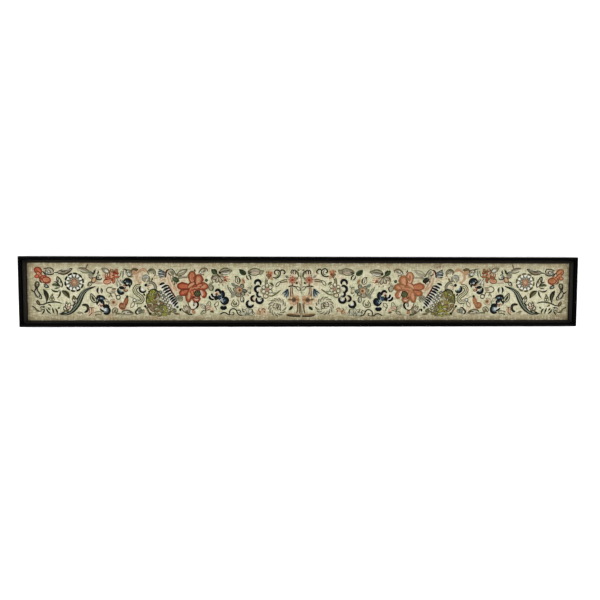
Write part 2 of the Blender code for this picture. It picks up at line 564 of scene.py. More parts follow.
def hardboard():
    material, tree, shader = blank_material("pressed hardboard")
    place = in_place(tree)
    flecks = noise(tree, place, 420.0, 6.0, 0.75)
    clouds = noise(tree, place, 14.0, 3.0)
    base = blended(tree, spread(tree, clouds, 0.35, 0.65), linear(BOARD_BROWN), linear(BOARD_PALE))
    colour = blended(tree, spread(tree, flecks, 0.45, 0.75, 0.0, 0.6), base, linear(BOARD_FLECK))
    fill(tree, shader.inputs["Base Color"], colour)
    shader.inputs["Roughness"].default_value = 0.88
    raise_face(tree, shader, flecks, 0.4, 0.1 * MM)
    return material


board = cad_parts["backing_board"]
board.data.materials.clear()
board.data.materials.append(hardboard())

# %% [markdown]
# ## The silk ground
# Each band is plain-weave silk, cream once and now aged: tanned where it met the frame and the air, greener
# in places, and stained. A dye or a stain soaks in unevenly, so each colour change is a soft field of noise
# and every stain is a round spot with a ragged rim. Slubs are two sets of stretched noise, one for
# the warp and one for the weft, and the same slubs lift the surface as bump.

# %% Mix the aged silk
LIGHT_LEVEL = 1.33
SILK_CREAM = (214, 211, 178)
SILK_GREENISH = (202, 205, 170)
SILK_WARM = (216, 190, 158)
SILK_MOSSY = (176, 176, 128)
SILK_TAN = (168, 152, 112)
SILK_HEM = (146, 132, 94)
SILK_BLUSH = (206, 172, 140)
SILK_BROWN = (118, 92, 58)
SILK_RUST = (160, 118, 72)
# The dark line along the sight edge: painted shade under the frame's lip, with some dirt.
SILK_LIP_SHADE_AND_DIRT = (60, 54, 34)
SILK_SLUB = (120, 108, 74)
SILK_WORN = (128, 118, 80)
SILK_BLEACHED = (236, 231, 202)
SILK_LEVEL = 7.6 * MM
RAGGEDNESS = 14 * MM
STAIN_HEART = 0.35
TAN_FROM = 34 * MM
TAN_FULL = 49 * MM
HEM_FULL = 47 * MM
LIP_SHADOW = 1.6 * MM
SIGHT_HALF_LENGTH = HALF_LENGTH - MOULDING_WIDTH
SIGHT_HALF_HEIGHT = HALF_HEIGHT - MOULDING_WIDTH


def as_lit(colour):
    """The dye that looks like this colour once the lamps shine on it."""
    return (*(v / LIGHT_LEVEL for v in linear(colour)[:3]), 1.0)


# Each stain: where it is in mm from the panel's middle, how far it spread, how strong, and its colour.
STAINS = [
    (244, 44.5, 9, 0.55, SILK_BROWN), (76, -33, 8, 0.35, SILK_BROWN), (-333, -46, 12, 0.45, SILK_RUST),
    (-466, -45, 17, 0.45, SILK_TAN), (-430, -44, 20, 0.30, SILK_BROWN), (-396, -46, 14, 0.35, SILK_TAN),
    (-255, -45, 15, 0.40, SILK_RUST), (-372, 42, 13, 0.40, SILK_TAN), (-440, 40, 15, 0.35, SILK_TAN),
    (-150, 44, 24, 0.35, SILK_TAN), (-30, 43, 17, 0.45, SILK_TAN), (10, 40, 20, 0.35, SILK_TAN),
    (60, -46, 17, 0.35, SILK_TAN), (-60, -46, 22, 0.40, SILK_TAN), (160, 45, 26, 0.30, SILK_TAN),
    (180, -46, 17, 0.40, SILK_BROWN), (330, 44, 24, 0.35, SILK_TAN), (400, -45, 24, 0.35, SILK_TAN),
    (455, -44, 17, 0.45, SILK_BROWN), (462, 42, 16, 0.40, SILK_TAN), (-290, 33, 13, 0.55, SILK_RUST),
    (-456, 34, 17, 0.50, SILK_BLUSH), (-437, 20, 14, 0.50, SILK_BLUSH), (-332, 28, 20, 0.60, SILK_BLUSH),
    (-284, 30, 22, 0.55, SILK_BLUSH), (-242, 18, 16, 0.45, SILK_BLUSH), (-212, 8, 26, 0.60, SILK_BLUSH),
    (-182, 12, 26, 0.60, SILK_BLUSH), (-188, -12, 18, 0.55, SILK_BLUSH), (-322, -22, 14, 0.40, SILK_BLUSH),
    (-308, -28, 16, 0.45, SILK_BLUSH), (-364, -34, 12, 0.50, SILK_BLUSH), (-140, 22, 12, 0.45, SILK_BLUSH),
    (-108, 6, 14, 0.45, SILK_BLUSH), (-56, 30, 12, 0.50, SILK_BLUSH), (-70, -36, 14, 0.45, SILK_BLUSH),
    (-16, 20, 18, 0.55, SILK_BLUSH), (-12, -16, 18, 0.50, SILK_BLUSH), (18, 20, 18, 0.50, SILK_BLUSH),
    (16, -16, 18, 0.45, SILK_BLUSH), (188, 8, 26, 0.50, SILK_BLUSH), (330, 26, 18, 0.45, SILK_BLUSH),
    (214, 10, 20, 0.40, SILK_BLUSH), (446, 24, 18, 0.45, SILK_BLUSH), (300, -30, 14, 0.35, SILK_BLUSH),
    (237, 45, 9, 0.50, SILK_BROWN), (70, 28, 12, 0.40, SILK_BLUSH), (290, 30, 16, 0.40, SILK_BLUSH),
]


def ragged_place(tree, place):
    """The place, pushed about by noise, so that nothing drawn on it has a smooth rim."""
    drift = noise(tree, place, 95.0, 4.0, 0.6, "Color")
    centred = add(tree, "VectorMath", {"operation": "SUBTRACT"})
    fill(tree, centred.inputs[0], drift)
    centred.inputs[1].default_value = (0.5, 0.5, 0.5)
    scaled = add(tree, "VectorMath", {"operation": "SCALE"}, Scale=RAGGEDNESS)
    fill(tree, scaled.inputs[0], centred.outputs[0])
    moved = add(tree, "VectorMath", {"operation": "ADD"})
    fill(tree, moved.inputs[0], place)
    fill(tree, moved.inputs[1], scaled.outputs[0])
    return moved.outputs[0]


def woven(tree, place, long_way, short_way, detail):
    """Noise drawn out along the warp and along the weft, and added up."""
    parts = []
    for scale in ((long_way, short_way, 1.0), (short_way, long_way, 1.0)):
        drawn = add(tree, "Mapping", Vector=place, Scale=scale).outputs["Vector"]
        parts.append(noise(tree, drawn, 1.0, detail, 0.6))
    return sum_of(tree, "MULTIPLY", sum_of(tree, "ADD", *parts), 0.5)


def tinted(tree, colour, field, low, high, share, tint):
    """The colour with a tint over it, which grows to this share as the field goes from low to high."""
    return blended(tree, spread(tree, field, low, high, 0.0, share), colour, as_lit(tint))


def stain(tree, ragged, colour, spot):
    across, up, reach, strength, tint = spot
    far = add(tree, "VectorMath", {"operation": "DISTANCE"})
    fill(tree, far.inputs[0], ragged)
    far.inputs[1].default_value = (across * MM, up * MM, SILK_LEVEL)
    return tinted(tree, colour, far.outputs["Value"], reach * MM, STAIN_HEART * reach * MM, strength, tint)


def aged_silk():
    material, tree, shader = blank_material("aged cream silk")
    place = in_place(tree)
    clouds = noise(tree, place, 16.0, 3.0)
    patches = woven(tree, place, 95.0, 400.0, 4.0)
    blotches = noise(tree, place, 105.0, 4.0, 0.65)
    colour = blended(tree, spread(tree, clouds, 0.40, 0.62), as_lit(SILK_CREAM), as_lit(SILK_GREENISH))
    colour = tinted(tree, colour, blotches, 0.52, 0.68, 0.62, SILK_WARM)
    colour = tinted(tree, colour, blotches, 0.47, 0.32, 0.6, SILK_MOSSY)
    ragged = ragged_place(tree, place)
    parts = add(tree, "SeparateXYZ", Vector=ragged)
    up = sum_of(tree, "ABSOLUTE", parts.outputs["Y"])
    along = sum_of(tree, "ABSOLUTE", parts.outputs["X"])
    colour = tinted(tree, colour, up, TAN_FROM, TAN_FULL, 0.85, SILK_TAN)
    hem = spread(tree, parts.outputs["Y"], -TAN_FROM, -HEM_FULL, 0.0, 0.55)
    tanned_end = spread(tree, along, SIGHT_HALF_LENGTH - TAN_FROM, SIGHT_HALF_LENGTH, 0.0, 0.9)
    colour = blended(tree, sum_of(tree, "MAXIMUM", hem, tanned_end), colour, as_lit(SILK_HEM))
    for spot in STAINS:
        colour = stain(tree, ragged, colour, spot)
    exact = add(tree, "SeparateXYZ", Vector=place)
    # Painted shade, with some dirt: the silk darkens within LIP_SHADOW of the sight edge, where the lip shades
    # it.
    rim_up = sum_of(tree, "SUBTRACT", SIGHT_HALF_HEIGHT, sum_of(tree, "ABSOLUTE", exact.outputs["Y"]))
    rim_end = sum_of(tree, "SUBTRACT", SIGHT_HALF_LENGTH, sum_of(tree, "ABSOLUTE", exact.outputs["X"]))
    rim = sum_of(tree, "MINIMUM", rim_up, rim_end)
    colour = tinted(tree, colour, rim, LIP_SHADOW, 0.0, 0.75, SILK_LIP_SHADE_AND_DIRT)
    weave = woven(tree, place, 420.0, 2300.0, 2.0)
    colour = blended(tree, spread(tree, weave, 0.40, 0.60, 0.34, 0.0), colour, as_lit(SILK_SLUB))
    colour = tinted(tree, colour, patches, 0.50, 0.62, 0.52, SILK_WORN)
    colour = tinted(tree, colour, patches, 0.50, 0.38, 0.56, SILK_BLEACHED)
    fill(tree, shader.inputs["Base Color"], colour)
    fill(tree, shader.inputs["Roughness"], spread(tree, weave, 0.35, 0.65, 0.72, 0.55))
    raise_face(tree, shader, weave, 0.55, 0.12 * MM)
    shader.inputs["Specular IOR Level"].default_value = 0.22
    shader.inputs["Sheen Weight"].default_value = 0.08
    shader.inputs["Sheen Roughness"].default_value = 0.5
    return material


silk_finish = aged_silk()
print("silk with", len(STAINS), "stains")

# %% [markdown]
# ## The silk bands as cloth
# The cloth is one thin sheet per band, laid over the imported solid, with a few soft cockles and a turned edge
# at the middle. A fine grid is let down onto the solid like a blanket, then puckered a little by noise,
# because stitching always gathers silk, and given its thickness last. Its heights are kept as a small map, so
# that every stitch later can rest on the cloth wherever it is.

# %% Lay the two sheets
SILK_COLUMNS = 168
SILK_ROWS = 42
SILK_INSET = 0.05 * MM
COLUMN_CROWDING = 1.25
SILK_FALL = 20 * MM
SILK_THICKNESS = 1.15 * MM
SILK_SMOOTH_ANGLE = math.radians(50)
PUCKER_SIZE = 11 * MM
PUCKER_HEIGHT = 0.28 * MM
JOIN_REACH = 5 * MM
JOIN_TOP = 7.72 * MM
silk_heights = {}


def lay_silk(node):
    low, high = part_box(node)
    middle = (low + high) / 2
    size = high - low
    bpy.ops.object.select_all(action="DESELECT")
    bpy.ops.mesh.primitive_grid_add(
        x_subdivisions=SILK_COLUMNS, y_subdivisions=SILK_ROWS, size=1,
        location=(middle.x, middle.y, SILK_FALL),
    )
    piece = bpy.context.object
    edit(piece)
    bpy.ops.transform.resize(value=(size.x - 2 * SILK_INSET, size.y - 2 * SILK_INSET, 1))
    done(piece)
    outer, inner = (low.x, high.x) if middle.x < 0 else (high.x, low.x)
    for point in piece.data.vertices:
        share = (point.co.x - outer) / (inner - outer)
        point.co.x = outer + (inner - outer) * (1 - (1 - share) ** COLUMN_CROWDING)
    apply_modifier(
        piece, "SHRINKWRAP", target=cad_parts[node], wrap_method="PROJECT",
        use_project_z=True, use_negative_direction=True, use_positive_direction=False,
    )
    apply_modifier(piece, "SMOOTH", factor=0.5, iterations=2, use_x=False, use_y=False)
    puckers = bpy.data.textures.new("puckers", "CLOUDS")
    puckers.noise_scale = PUCKER_SIZE
    apply_modifier(
        piece, "DISPLACE", texture=puckers, texture_coords="LOCAL", direction="Z",
        strength=PUCKER_HEIGHT, mid_level=0.5,
    )
    press_join(piece, inner)
    keep_heights(node, piece)
    apply_modifier(piece, "SOLIDIFY", thickness=SILK_THICKNESS, offset=-1.0)
    bpy.ops.object.shade_smooth_by_angle(angle=SILK_SMOOTH_ANGLE)
    piece.data.materials.append(silk_finish)
    hand_over(piece, node + "_cloth", "embroidered_silk", node)
    return piece


def press_join(piece, inner):
    """Presses the turned edge at the middle nearly flat, as the mount does."""
    for point in piece.data.vertices:
        if abs(point.co.x - inner) < JOIN_REACH:
            point.co.z = min(point.co.z, JOIN_TOP)


def keep_heights(node, piece):
    """Keeps the sheet's heights as rows and columns."""
    points = np.array([tuple(v.co) for v in piece.data.vertices])
    grid = points.reshape(SILK_ROWS + 1, SILK_COLUMNS + 1, 3)
    silk_heights[node] = (grid[0, :, 0].copy(), grid[:, 0, 1].copy(), grid[:, :, 2].copy())


def silk_height(node, x, y):
    """The cloth's height at each place, between the nearest rows and columns of its map."""
    columns, rows, heights = silk_heights[node]
    c = np.clip(np.searchsorted(columns, x) - 1, 0, len(columns) - 2)
    r = np.clip(np.searchsorted(rows, y) - 1, 0, len(rows) - 2)
    fx = np.clip((x - columns[c]) / (columns[c + 1] - columns[c]), 0, 1)
    fy = np.clip((y - rows[r]) / (rows[r + 1] - rows[r]), 0, 1)
    lower = heights[r, c] * (1 - fx) + heights[r, c + 1] * fx
    upper = heights[r + 1, c] * (1 - fx) + heights[r + 1, c + 1] * fx
    return lower * (1 - fy) + upper * fy


for node in ("silk_band_left", "silk_band_right"):
    cloth = lay_silk(node)
    heights = silk_heights[node][2] / MM
    print(cloth.name, heights.shape, "heights", round(heights.min(), 2), "to", round(heights.max(), 2), "mm")

# %% [markdown]
# ## Dyed floss
# Every coloured shape is untwisted silk floss laid side by side, so light runs along it and each petal shades
# from a deep tone to a pale one. One material serves each dye: a ramp from dark through middle to light, read
# from a value that each stitch carries, with streaks along the floss and fine ridges across it.

# %% Mix the dyes
FLOSS_PITCH = 0.42
RIDGE_SCALE = 0.314 / FLOSS_PITCH
DYES = {
    "vermilion": ((90, 32, 18), (168, 78, 50), (206, 122, 84)),
    "coral": ((104, 46, 28), (174, 98, 68), (210, 142, 106)),
    "rust": ((60, 26, 14), (120, 56, 34), (164, 94, 60)),
    "orange": ((108, 60, 34), (164, 104, 66), (200, 148, 106)),
    "buff": ((136, 102, 70), (176, 140, 102), (210, 184, 146)),
    "pink": ((146, 116, 96), (200, 170, 144), (226, 206, 182)),
    "navy": ((3, 5, 7), (10, 18, 26), (66, 88, 102)),
    "blue": ((6, 14, 20), (30, 52, 64), (124, 150, 162)),
    "steel": ((46, 60, 62), (124, 140, 138), (216, 220, 214)),
    "slate": ((48, 56, 46), (108, 114, 98), (176, 180, 160)),
    "green": ((16, 24, 12), (40, 52, 28), (98, 112, 72)),
    "olive": ((34, 34, 14), (82, 78, 46), (144, 140, 96)),
    "lime": ((60, 62, 20), (116, 116, 40), (172, 170, 82)),
    "brown": ((40, 28, 14), (88, 66, 40), (152, 128, 92)),
    "black": ((2, 2, 2), (5, 6, 6), (30, 34, 34)),
    "grey": ((86, 82, 64), (146, 140, 116), (196, 190, 164)),
    "cream": ((160, 152, 124), (208, 202, 172), (230, 226, 202)),
    "white": ((166, 164, 152), (214, 212, 200), (240, 238, 230)),
    "maroon": ((40, 12, 10), (80, 30, 24), (128, 66, 50)),
    "ink": ((12, 12, 5), (26, 25, 13), (58, 55, 34)),
    "peach": ((142, 94, 66), (192, 138, 104), (222, 178, 144)),
    "tawny": ((82, 52, 30), (138, 96, 62), (178, 136, 98)),
}


def floss(name, dark, middle, light):
    material, tree, shader = blank_material(name + " floss")
    threads = add(tree, "UVMap", {"uv_map": "threads"}).outputs["UV"]
    shade = add(tree, "Attribute", {"attribute_name": "shade"}).outputs["Fac"]
    combed = add(tree, "Mapping", Vector=threads, Scale=(2.4, 0.10, 1.0)).outputs["Vector"]
    streaks = noise(tree, combed, 1.0, 3.0, 0.6)
    worn = noise(tree, in_place(tree), 330.0, 3.0)
    tone = sum_of(tree, "ADD", shade, spread(tree, streaks, 0.25, 0.75, -0.22, 0.22))
    tone = sum_of(tree, "ADD", tone, spread(tree, worn, 0.30, 0.70, -0.08, 0.08))
    ridges = add(
        tree, "TexWave", {"wave_type": "BANDS", "bands_direction": "X"},
        Vector=threads, Scale=RIDGE_SCALE, Distortion=0.6,
    ).outputs["Fac"]
    tone = sum_of(tree, "ADD", tone, spread(tree, ridges, 0.0, 1.0, -0.13, 0.13))
    ramp = add(tree, "ValToRGB", Fac=tone)
    stops = ramp.color_ramp.elements
    stops[0].position = 0.0
    stops[0].color = as_lit(dark)
    stops[1].position = 1.0
    stops[1].color = as_lit(light)
    stops.new(0.5).color = as_lit(middle)
    fill(tree, shader.inputs["Base Color"], ramp.outputs["Color"])
    fill(tree, shader.inputs["Roughness"], spread(tree, streaks, 0.3, 0.7, 0.62, 0.46))
    raise_face(tree, shader, ridges, 0.6, 0.09 * MM)
    shader.inputs["Specular IOR Level"].default_value = 0.08
    shader.inputs["Sheen Weight"].default_value = 0.02
    shader.inputs["Sheen Roughness"].default_value = 0.4
    return material


flosses = {name: floss(name, *tones) for name, tones in DYES.items()}
VERMILION, CORAL, RUST, ORANGE, BUFF, PINK, NAVY, BLUE, STEEL, SLATE = list(DYES)[:10]
GREEN, OLIVE, LIME, BROWN, BLACK, GREY, CREAM, WHITE, MAROON, INK, PEACH, TAWNY = list(DYES)[10:]
print("dyes", ", ".join(flosses))

# %% [markdown]
# ## Blanks for the stitches
# Thousands of stitches make only a few shapes: a padded satin petal, a smaller one, a curled one, and a
# couched cord in three lengths. Each is modelled once as a blank bar, one unit long, cut into short lengths
# and domed across. Every petal, leaf and outline is then a copy of a blank, led along its own line, which
# keeps each one light.

# %% Model the blanks
RIM_HEIGHT = 0.25
BLANK_SIZES = {
    "broad": (14, 4), "curled": (22, 3), "small": (8, 2), "short cord": (8, 2), "cord": (22, 2),
    "long cord": (56, 2),
}


def model_blank(lengths, strips):
    bpy.ops.object.select_all(action="DESELECT")
    bpy.ops.mesh.primitive_cube_add(size=1, location=(0.5, 0, 0.5))
    piece = bpy.context.object
    edit(piece)
    bpy.ops.transform.resize(value=(1, 2, 1))
    done(piece)
    edit(piece)
    pick(piece, "edges", lambda at, edge: 0.01 < at.x < 0.99)
    bpy.ops.mesh.subdivide(number_cuts=lengths - 1)
    pick(piece, "edges", lambda at, edge: at.z > 0.99 and abs(at.y) < 0.01)
    bpy.ops.mesh.subdivide(number_cuts=strips - 1)
    done(piece)
    points = np.array([tuple(v.co) for v in piece.data.vertices])
    dome = RIM_HEIGHT + (1 - RIM_HEIGHT) * np.sqrt(np.clip(1 - points[:, 1] ** 2, 0, 1))
    points[:, 2] = np.where(points[:, 2] > 0.5, dome, 0.0)
    faces = [tuple(face.vertices) for face in piece.data.polygons]
    bpy.data.objects.remove(piece)
    return points.T, faces


BLANKS = {name: model_blank(*size) for name, size in BLANK_SIZES.items()}
for name, (points, faces) in BLANKS.items():
    print(name, "blank:", points.shape[1], "points,", len(faces), "faces")

# %% [markdown]
# ## Drawing with the needle
# The embroiderer draws a line first, then fills it. A drawing here is the same: points in millimetres, with
# s counted along the band from its outer end and t counted up from the lower sight edge, joined by a
# smooth line. A form says how wide the filling is along that line, and a fade says where it is dark or pale.
# The right band is a little longer than the mirror of the left one and drifts up and down, as sewn work does.

# %% Lines, forms and fades
BAND_LENGTH = 474.0
BAND_MIDDLE = 50
RIGHT_SCALE = 1.0155
RIGHT_SHIFT = 3.3
RIGHT_DRIFT_AT = (0, 17, 50, 80, 145, 200, 270, 340, 390, 430, 457, 474)
RIGHT_DRIFT_UP = (-3, -3, 0, 0, 1.5, 0, -1, -2.5, 0, 2.5, -0.5, 0)
JOIN_EDGE = 0.7
LINE_STEPS = 8
SUNK = 0.15
EDGE_EASE = 0.05
CORD_FULLNESS = 1.32
CORD_CAP = 1.0
CORD_TIP = 0.38
BEND_CARE = 0.8
CURLED = 1.6
OVERLAP = 1.3
FRILLS = 3

PETAL = (1.5, 0.5)
FRILLED = (1.5, 0.5, 0.15)
LEAF = (0.85, 0.85)
BLADE = (0.8, 1.1)
ROUND = (1.0, 0.5)
DROP = (0.6, 0.7)
STRAP = (1.0, 0.28)
BAR = (1.0, 0.4)
SHORT_BAR = (1.0, 0.35)
HOOK = (1.0, 0.3)
OVAL = (1.1, 0.5)
HILLOCK = (0.95, 0.5)
SICKLE = (0.7, 0.6)
PADDLE = (0.9, 0.6)
LONG_BLADE = (0.85, 1.1)
CORD = (1.0, 0.0)


def dark_edge(u, v):
    return 0.85 * (1 - np.maximum(np.abs(v) ** 2.2, u ** 5))


def pale_tip(u, v):
    return 0.05 + 0.9 * u


def pale_edge(u, v):
    return 0.3 + 0.6 * np.maximum(np.abs(v) ** 1.6, np.abs(2 * u - 1) ** 4)


def pale_inside(u, v):
    return 0.42 + 0.50 * v


def even(u, v):
    return 0.5 + 0 * u


def smooth_line(points, closed=False):
    """A smooth line through the points, as many short steps."""
    marks = np.array(points, float)
    if len(marks) == 2:
        return marks[0] + np.linspace(0, 1, LINE_STEPS + 1)[:, None] * (marks[1] - marks[0])
    if closed:
        marks = np.vstack([marks[-1], marks, marks[:2]])
    else:
        marks = np.vstack([2 * marks[0] - marks[1], marks, 2 * marks[-1] - marks[-2]])
    t = np.linspace(0, 1, LINE_STEPS + 1)[:-1, None]
    spans = []
    for a, b, c, d in zip(marks, marks[1:], marks[2:], marks[3:]):
        square = (2 * a - 5 * b + 4 * c - d) * t ** 2
        cube = (3 * b - a - 3 * c + d) * t ** 3
        spans.append(0.5 * (2 * b + (c - a) * t + square + cube))
    line = np.vstack(spans + [marks[-2]])
    return np.vstack([line, line[1:][lengths_of(line)[1:] < OVERLAP]]) if closed else line


def lengths_of(line):
    return np.concatenate([[0], np.cumsum(np.hypot(*np.diff(line, axis=0).T))])


def bends_of(line):
    """How far a line has turned by each of its points, in radians."""
    ahead = np.diff(line, axis=0)
    heading = np.unwrap(np.arctan2(ahead[:, 1], ahead[:, 0]))
    return np.concatenate([[0, 0], np.cumsum(np.abs(np.diff(heading)))])


def cord_steps(u, line, width):
    """Where a cord's steps fall: close together where it bends, with a short narrow one at each end."""
    run, bend = lengths_of(line), bends_of(line)
    effort = run / run[-1] + BEND_CARE * bend / max(bend[-1], 1)
    first = u[u > 0.001].min()
    inner = np.interp((u - first) / (1 - 2 * first), effort / effort[-1], run / run[-1])
    cap = min(0.2, CORD_CAP * width / run[-1])
    ends = [u < 0.001, u > 0.999]
    return np.select(ends, [0, 1], cap + (1 - 2 * cap) * inner), np.select(ends, [CORD_TIP, CORD_TIP], 1.0)


def walk(line, share):
    """Points and leftward directions at shares of a line's length."""
    run = lengths_of(line)
    at = share * run[-1]
    slope = np.gradient(line, run + 1e-9 * np.arange(len(run)), axis=0)
    point = np.stack([np.interp(at, run, line[:, k]) for k in (0, 1)], 1)
    ahead = np.stack([np.interp(at, run, slope[:, k]) for k in (0, 1)], 1)
    ahead /= np.maximum(np.hypot(*ahead.T), 1e-9)[:, None]
    return point, np.stack([-ahead[:, 1], ahead[:, 0]], 1)


def girth(form, share):
    """How wide a shape is at shares of its length; a third number in its form frills the edge."""
    plain = np.sin(np.pi * np.clip(share, 0, 1) ** form[0]) ** form[1] if form[1] else np.ones_like(share)
    return plain * (1 - form[2] * np.sin(FRILLS * np.pi * share) ** 2) if len(form) > 2 else plain


def turned(centre, reach, angle):
    """The point at a distance and a direction, in degrees, from a centre."""
    way = math.radians(angle)
    return (centre[0] + reach * math.cos(way), centre[1] + reach * math.sin(way))


def arc(centre, radius, start, sweep, count=7):
    return [turned(centre, radius, start + sweep * k / (count - 1)) for k in range(count)]


print("an arc of", len(arc((0, 0), 5, 0, 90)), "points")

# %% [markdown]
# ## The two stitches
# Satin fills a shape with floss over a little padding, so a wide shape stands higher than a slim one. Cord
# is couched along a line, for outlines and veins. Everything else, from a petal to a spray that turns round
# a centre, is made of those two. Each stitch waits in the hoop until its motif is complete.

# %% The stitches themselves
PADDING_LEAST = 0.28
PADDING_GAIN = 0.045
PADDING_MOST = 0.85
CORD_RISE = 0.55
RIM_WIDTH = 0.78
RIM_GAIN = 0.04
VEIN_WIDTH = 0.7
HEART_SHARE = 0.50
SHORT_CORD = 9
LONG_CORD = 30
SATIN_SLANT = 0.12
HEART_SLANT = 0.6
BLADE_SLANT = 0.3
KNOT_SLANT = 0.8
CORD_SLANT = 1.0
LINING_REACH = 0.52
hoop = []
chance = random.Random(11)


def lay(blank, line, width, form, dye, fade, rise, slant):
    hoop.append((blank, line, width, form, dye, fade, rise, slant))


def bent(foot, tip, bend):
    """A line from foot to tip that bows to its left by a share of its length."""
    a, b = np.array(foot, float), np.array(tip, float)
    side = np.array([a[1] - b[1], b[0] - a[0]]) * bend
    return smooth_line([a, (a + b) / 2 + side, b]) if bend else smooth_line([a, b])


def padding(width):
    """How high a satin shape of this width is padded."""
    return min(PADDING_MOST, PADDING_LEAST + PADDING_GAIN * width)


def cord(line, dye=INK, width=0.9):
    """Lays a couched cord along a finished line."""
    long = lengths_of(line)[-1]
    blank = "short cord" if long < SHORT_CORD else "cord" if long < LONG_CORD else "long cord"
    lay(blank, line, CORD_FULLNESS * width, CORD, dye, even, CORD_RISE * width, CORD_SLANT)


def line(points, dye=INK, width=0.9, closed=False):
    cord(smooth_line(points, closed), dye, width)


def ring(centre, radius, dye=INK, width=0.9, squash=1.0):
    marks = [(centre[0] + radius * math.cos(a), centre[1] + squash * radius * math.sin(a))
             for a in (k * math.tau / 8 for k in range(8))]
    line(marks, dye, width, True)


def rim_of(spine, width, form, dye):
    """Couches an outline on the edge of a satin shape, fuller round a larger one."""
    share = (1 - np.cos(np.pi * np.linspace(0.03, 0.98, 22 if len(form) > 2 else 12))) / 2
    point, side = walk(spine, share)
    half = (width / 2 * girth(form, share))[:, None]
    around = np.vstack([point + side * half, (point - side * half)[::-1]])
    cord(smooth_line(around, True), dye, RIM_WIDTH + RIM_GAIN * width)


def satin(spine, width, dye, form=BLADE, fade=dark_edge, slant=SATIN_SLANT):
    long = lengths_of(spine)[-1]
    blank = "broad" if width >= 3.2 and long > 4 or long > 14 else "small"
    if bends_of(spine)[-1] > CURLED or len(form) > 2:
        blank = "curled"
    lay(blank, spine, width, form, dye, fade, padding(width), slant)


def petal(foot, tip, width, dye, form=PETAL, fade=dark_edge, bend=0.0, rim=None, vein=None):
    """A satin petal from foot to tip, with an outline and a middle line where they are given."""
    spine = bent(foot, tip, bend)
    satin(spine, width, dye, form, fade)
    if rim:
        rim_of(spine, width, form, rim)
    if vein:
        inner, _ = walk(spine, np.linspace(0.06, 0.84, 9))
        cord(inner, vein, VEIN_WIDTH)


def leaf(foot, tip, width, dye, fade=pale_edge, bend=0.0, rim=None, vein=None):
    petal(foot, tip, width, dye, LEAF, fade, bend, rim, vein)


def lobe(foot, tip, width, dye, fade=even, bend=0.0, rim=None):
    petal(foot, tip, width, dye, ROUND, fade, bend, rim)


def open_leaf(foot, tip, width, body, bend, rim=INK):
    """An outlined leaf: a couched rim, bare silk inside it, then a slim satin heart with its vein."""
    spine = bent(foot, tip, bend)
    rim_of(spine, width, LEAF, rim)
    heart, _ = walk(spine, np.linspace(0.14, 0.86, 13))
    satin(heart, HEART_SHARE * width, body, LEAF, pale_edge, HEART_SLANT)
    vein, _ = walk(spine, np.linspace(0.05, 0.75, 9))
    cord(vein, rim, VEIN_WIDTH)


def blade(points, width, dye, fade=dark_edge, form=BLADE):
    satin(smooth_line(points), width, dye, form, fade, BLADE_SLANT)


def knot(centre, size, dye=GREY):
    a, b = (centre[0] - size / 2, centre[1]), (centre[0] + size / 2, centre[1])
    lay("small", smooth_line([a, b]), size, ROUND, dye, pale_edge, 0.3 + 0.12 * size, KNOT_SLANT)


def disc(centre, radius, dye, fade=dark_edge, turn=0):
    spine = smooth_line([turned(centre, radius, turn + 180), turned(centre, radius, turn)])
    satin(spine, 2 * radius, dye, ROUND, fade)


def crescent(centre, radius, facing, lining, sweep, thick):
    """A curled petal seen from its side: a thick dark back, and a lining that pales towards its open side."""
    start = facing + 180 - sweep / 2
    hollow = radius - thick
    inner = arc(centre, LINING_REACH * hollow, start + 0.04 * sweep, 0.92 * sweep, 9)
    satin(smooth_line(inner), hollow + 0.8, lining, STRAP, pale_inside)
    satin(smooth_line(arc(centre, radius - thick / 2, start, sweep, 9)), thick, BLACK, BAR, even)


def spray(
    foot, start, sweep, count, near, far, width, dye, form=PETAL, fade=dark_edge, rim=None, vein=None,
):
    """Petals that fan out round one point; a sweep of 360 makes a whole flower."""
    steps = count if sweep == 360 else max(count - 1, 1)
    for k in range(count):
        way = start + sweep * k / steps
        petal(turned(foot, near, way), turned(foot, far, way), width, dye, form, fade, 0.0, rim, vein)


def beside(path, gap, start=0.0, stop=1.0):
    """The same line, or a length of it, moved sideways: to its left where the gap is positive."""
    at, side = walk(path, np.linspace(start, stop, 41))
    return at + side * gap


def strokes(dye, width, *lines):
    for points in lines:
        line(points, dye, width)


print("ready to stitch")

# %% [markdown]
# ## From the hoop to the cloth
# A stitch rests on those sewn before it. A grid of half millimetres keeps how high the work already stands,
# so a petal sewn over another one climbs onto it. Tight thread then draws every heap down, so that nothing
# stands more than about a millimetre above the silk. One call works the whole hoop as a mesh for the left
# band and again, mirrored, for the right one, since the two bands were sewn as a pair.

# %% Work the hoop into a mesh for each band
RELIEF_STEP = 0.5
DRAW = 0.4
PADDED_REST = 70
CORD_REST = 50
REST_EASE = 0.3
relief = np.zeros((int(BAND_LENGTH / RELIEF_STEP) + 2, int(2 * BAND_MIDDLE / RELIEF_STEP) + 1))


def place_left(s, t):
    return (s - BAND_LENGTH) * MM, (t - BAND_MIDDLE) * MM


def place_right(s, t):
    across = np.maximum(BAND_LENGTH + RIGHT_SHIFT - RIGHT_SCALE * s, JOIN_EDGE)
    return across * MM, (t - BAND_MIDDLE + np.interp(s, RIGHT_DRIFT_AT, RIGHT_DRIFT_UP)) * MM


BANDS = [("left", "silk_band_left", place_left, False), ("right", "silk_band_right", place_right, True)]


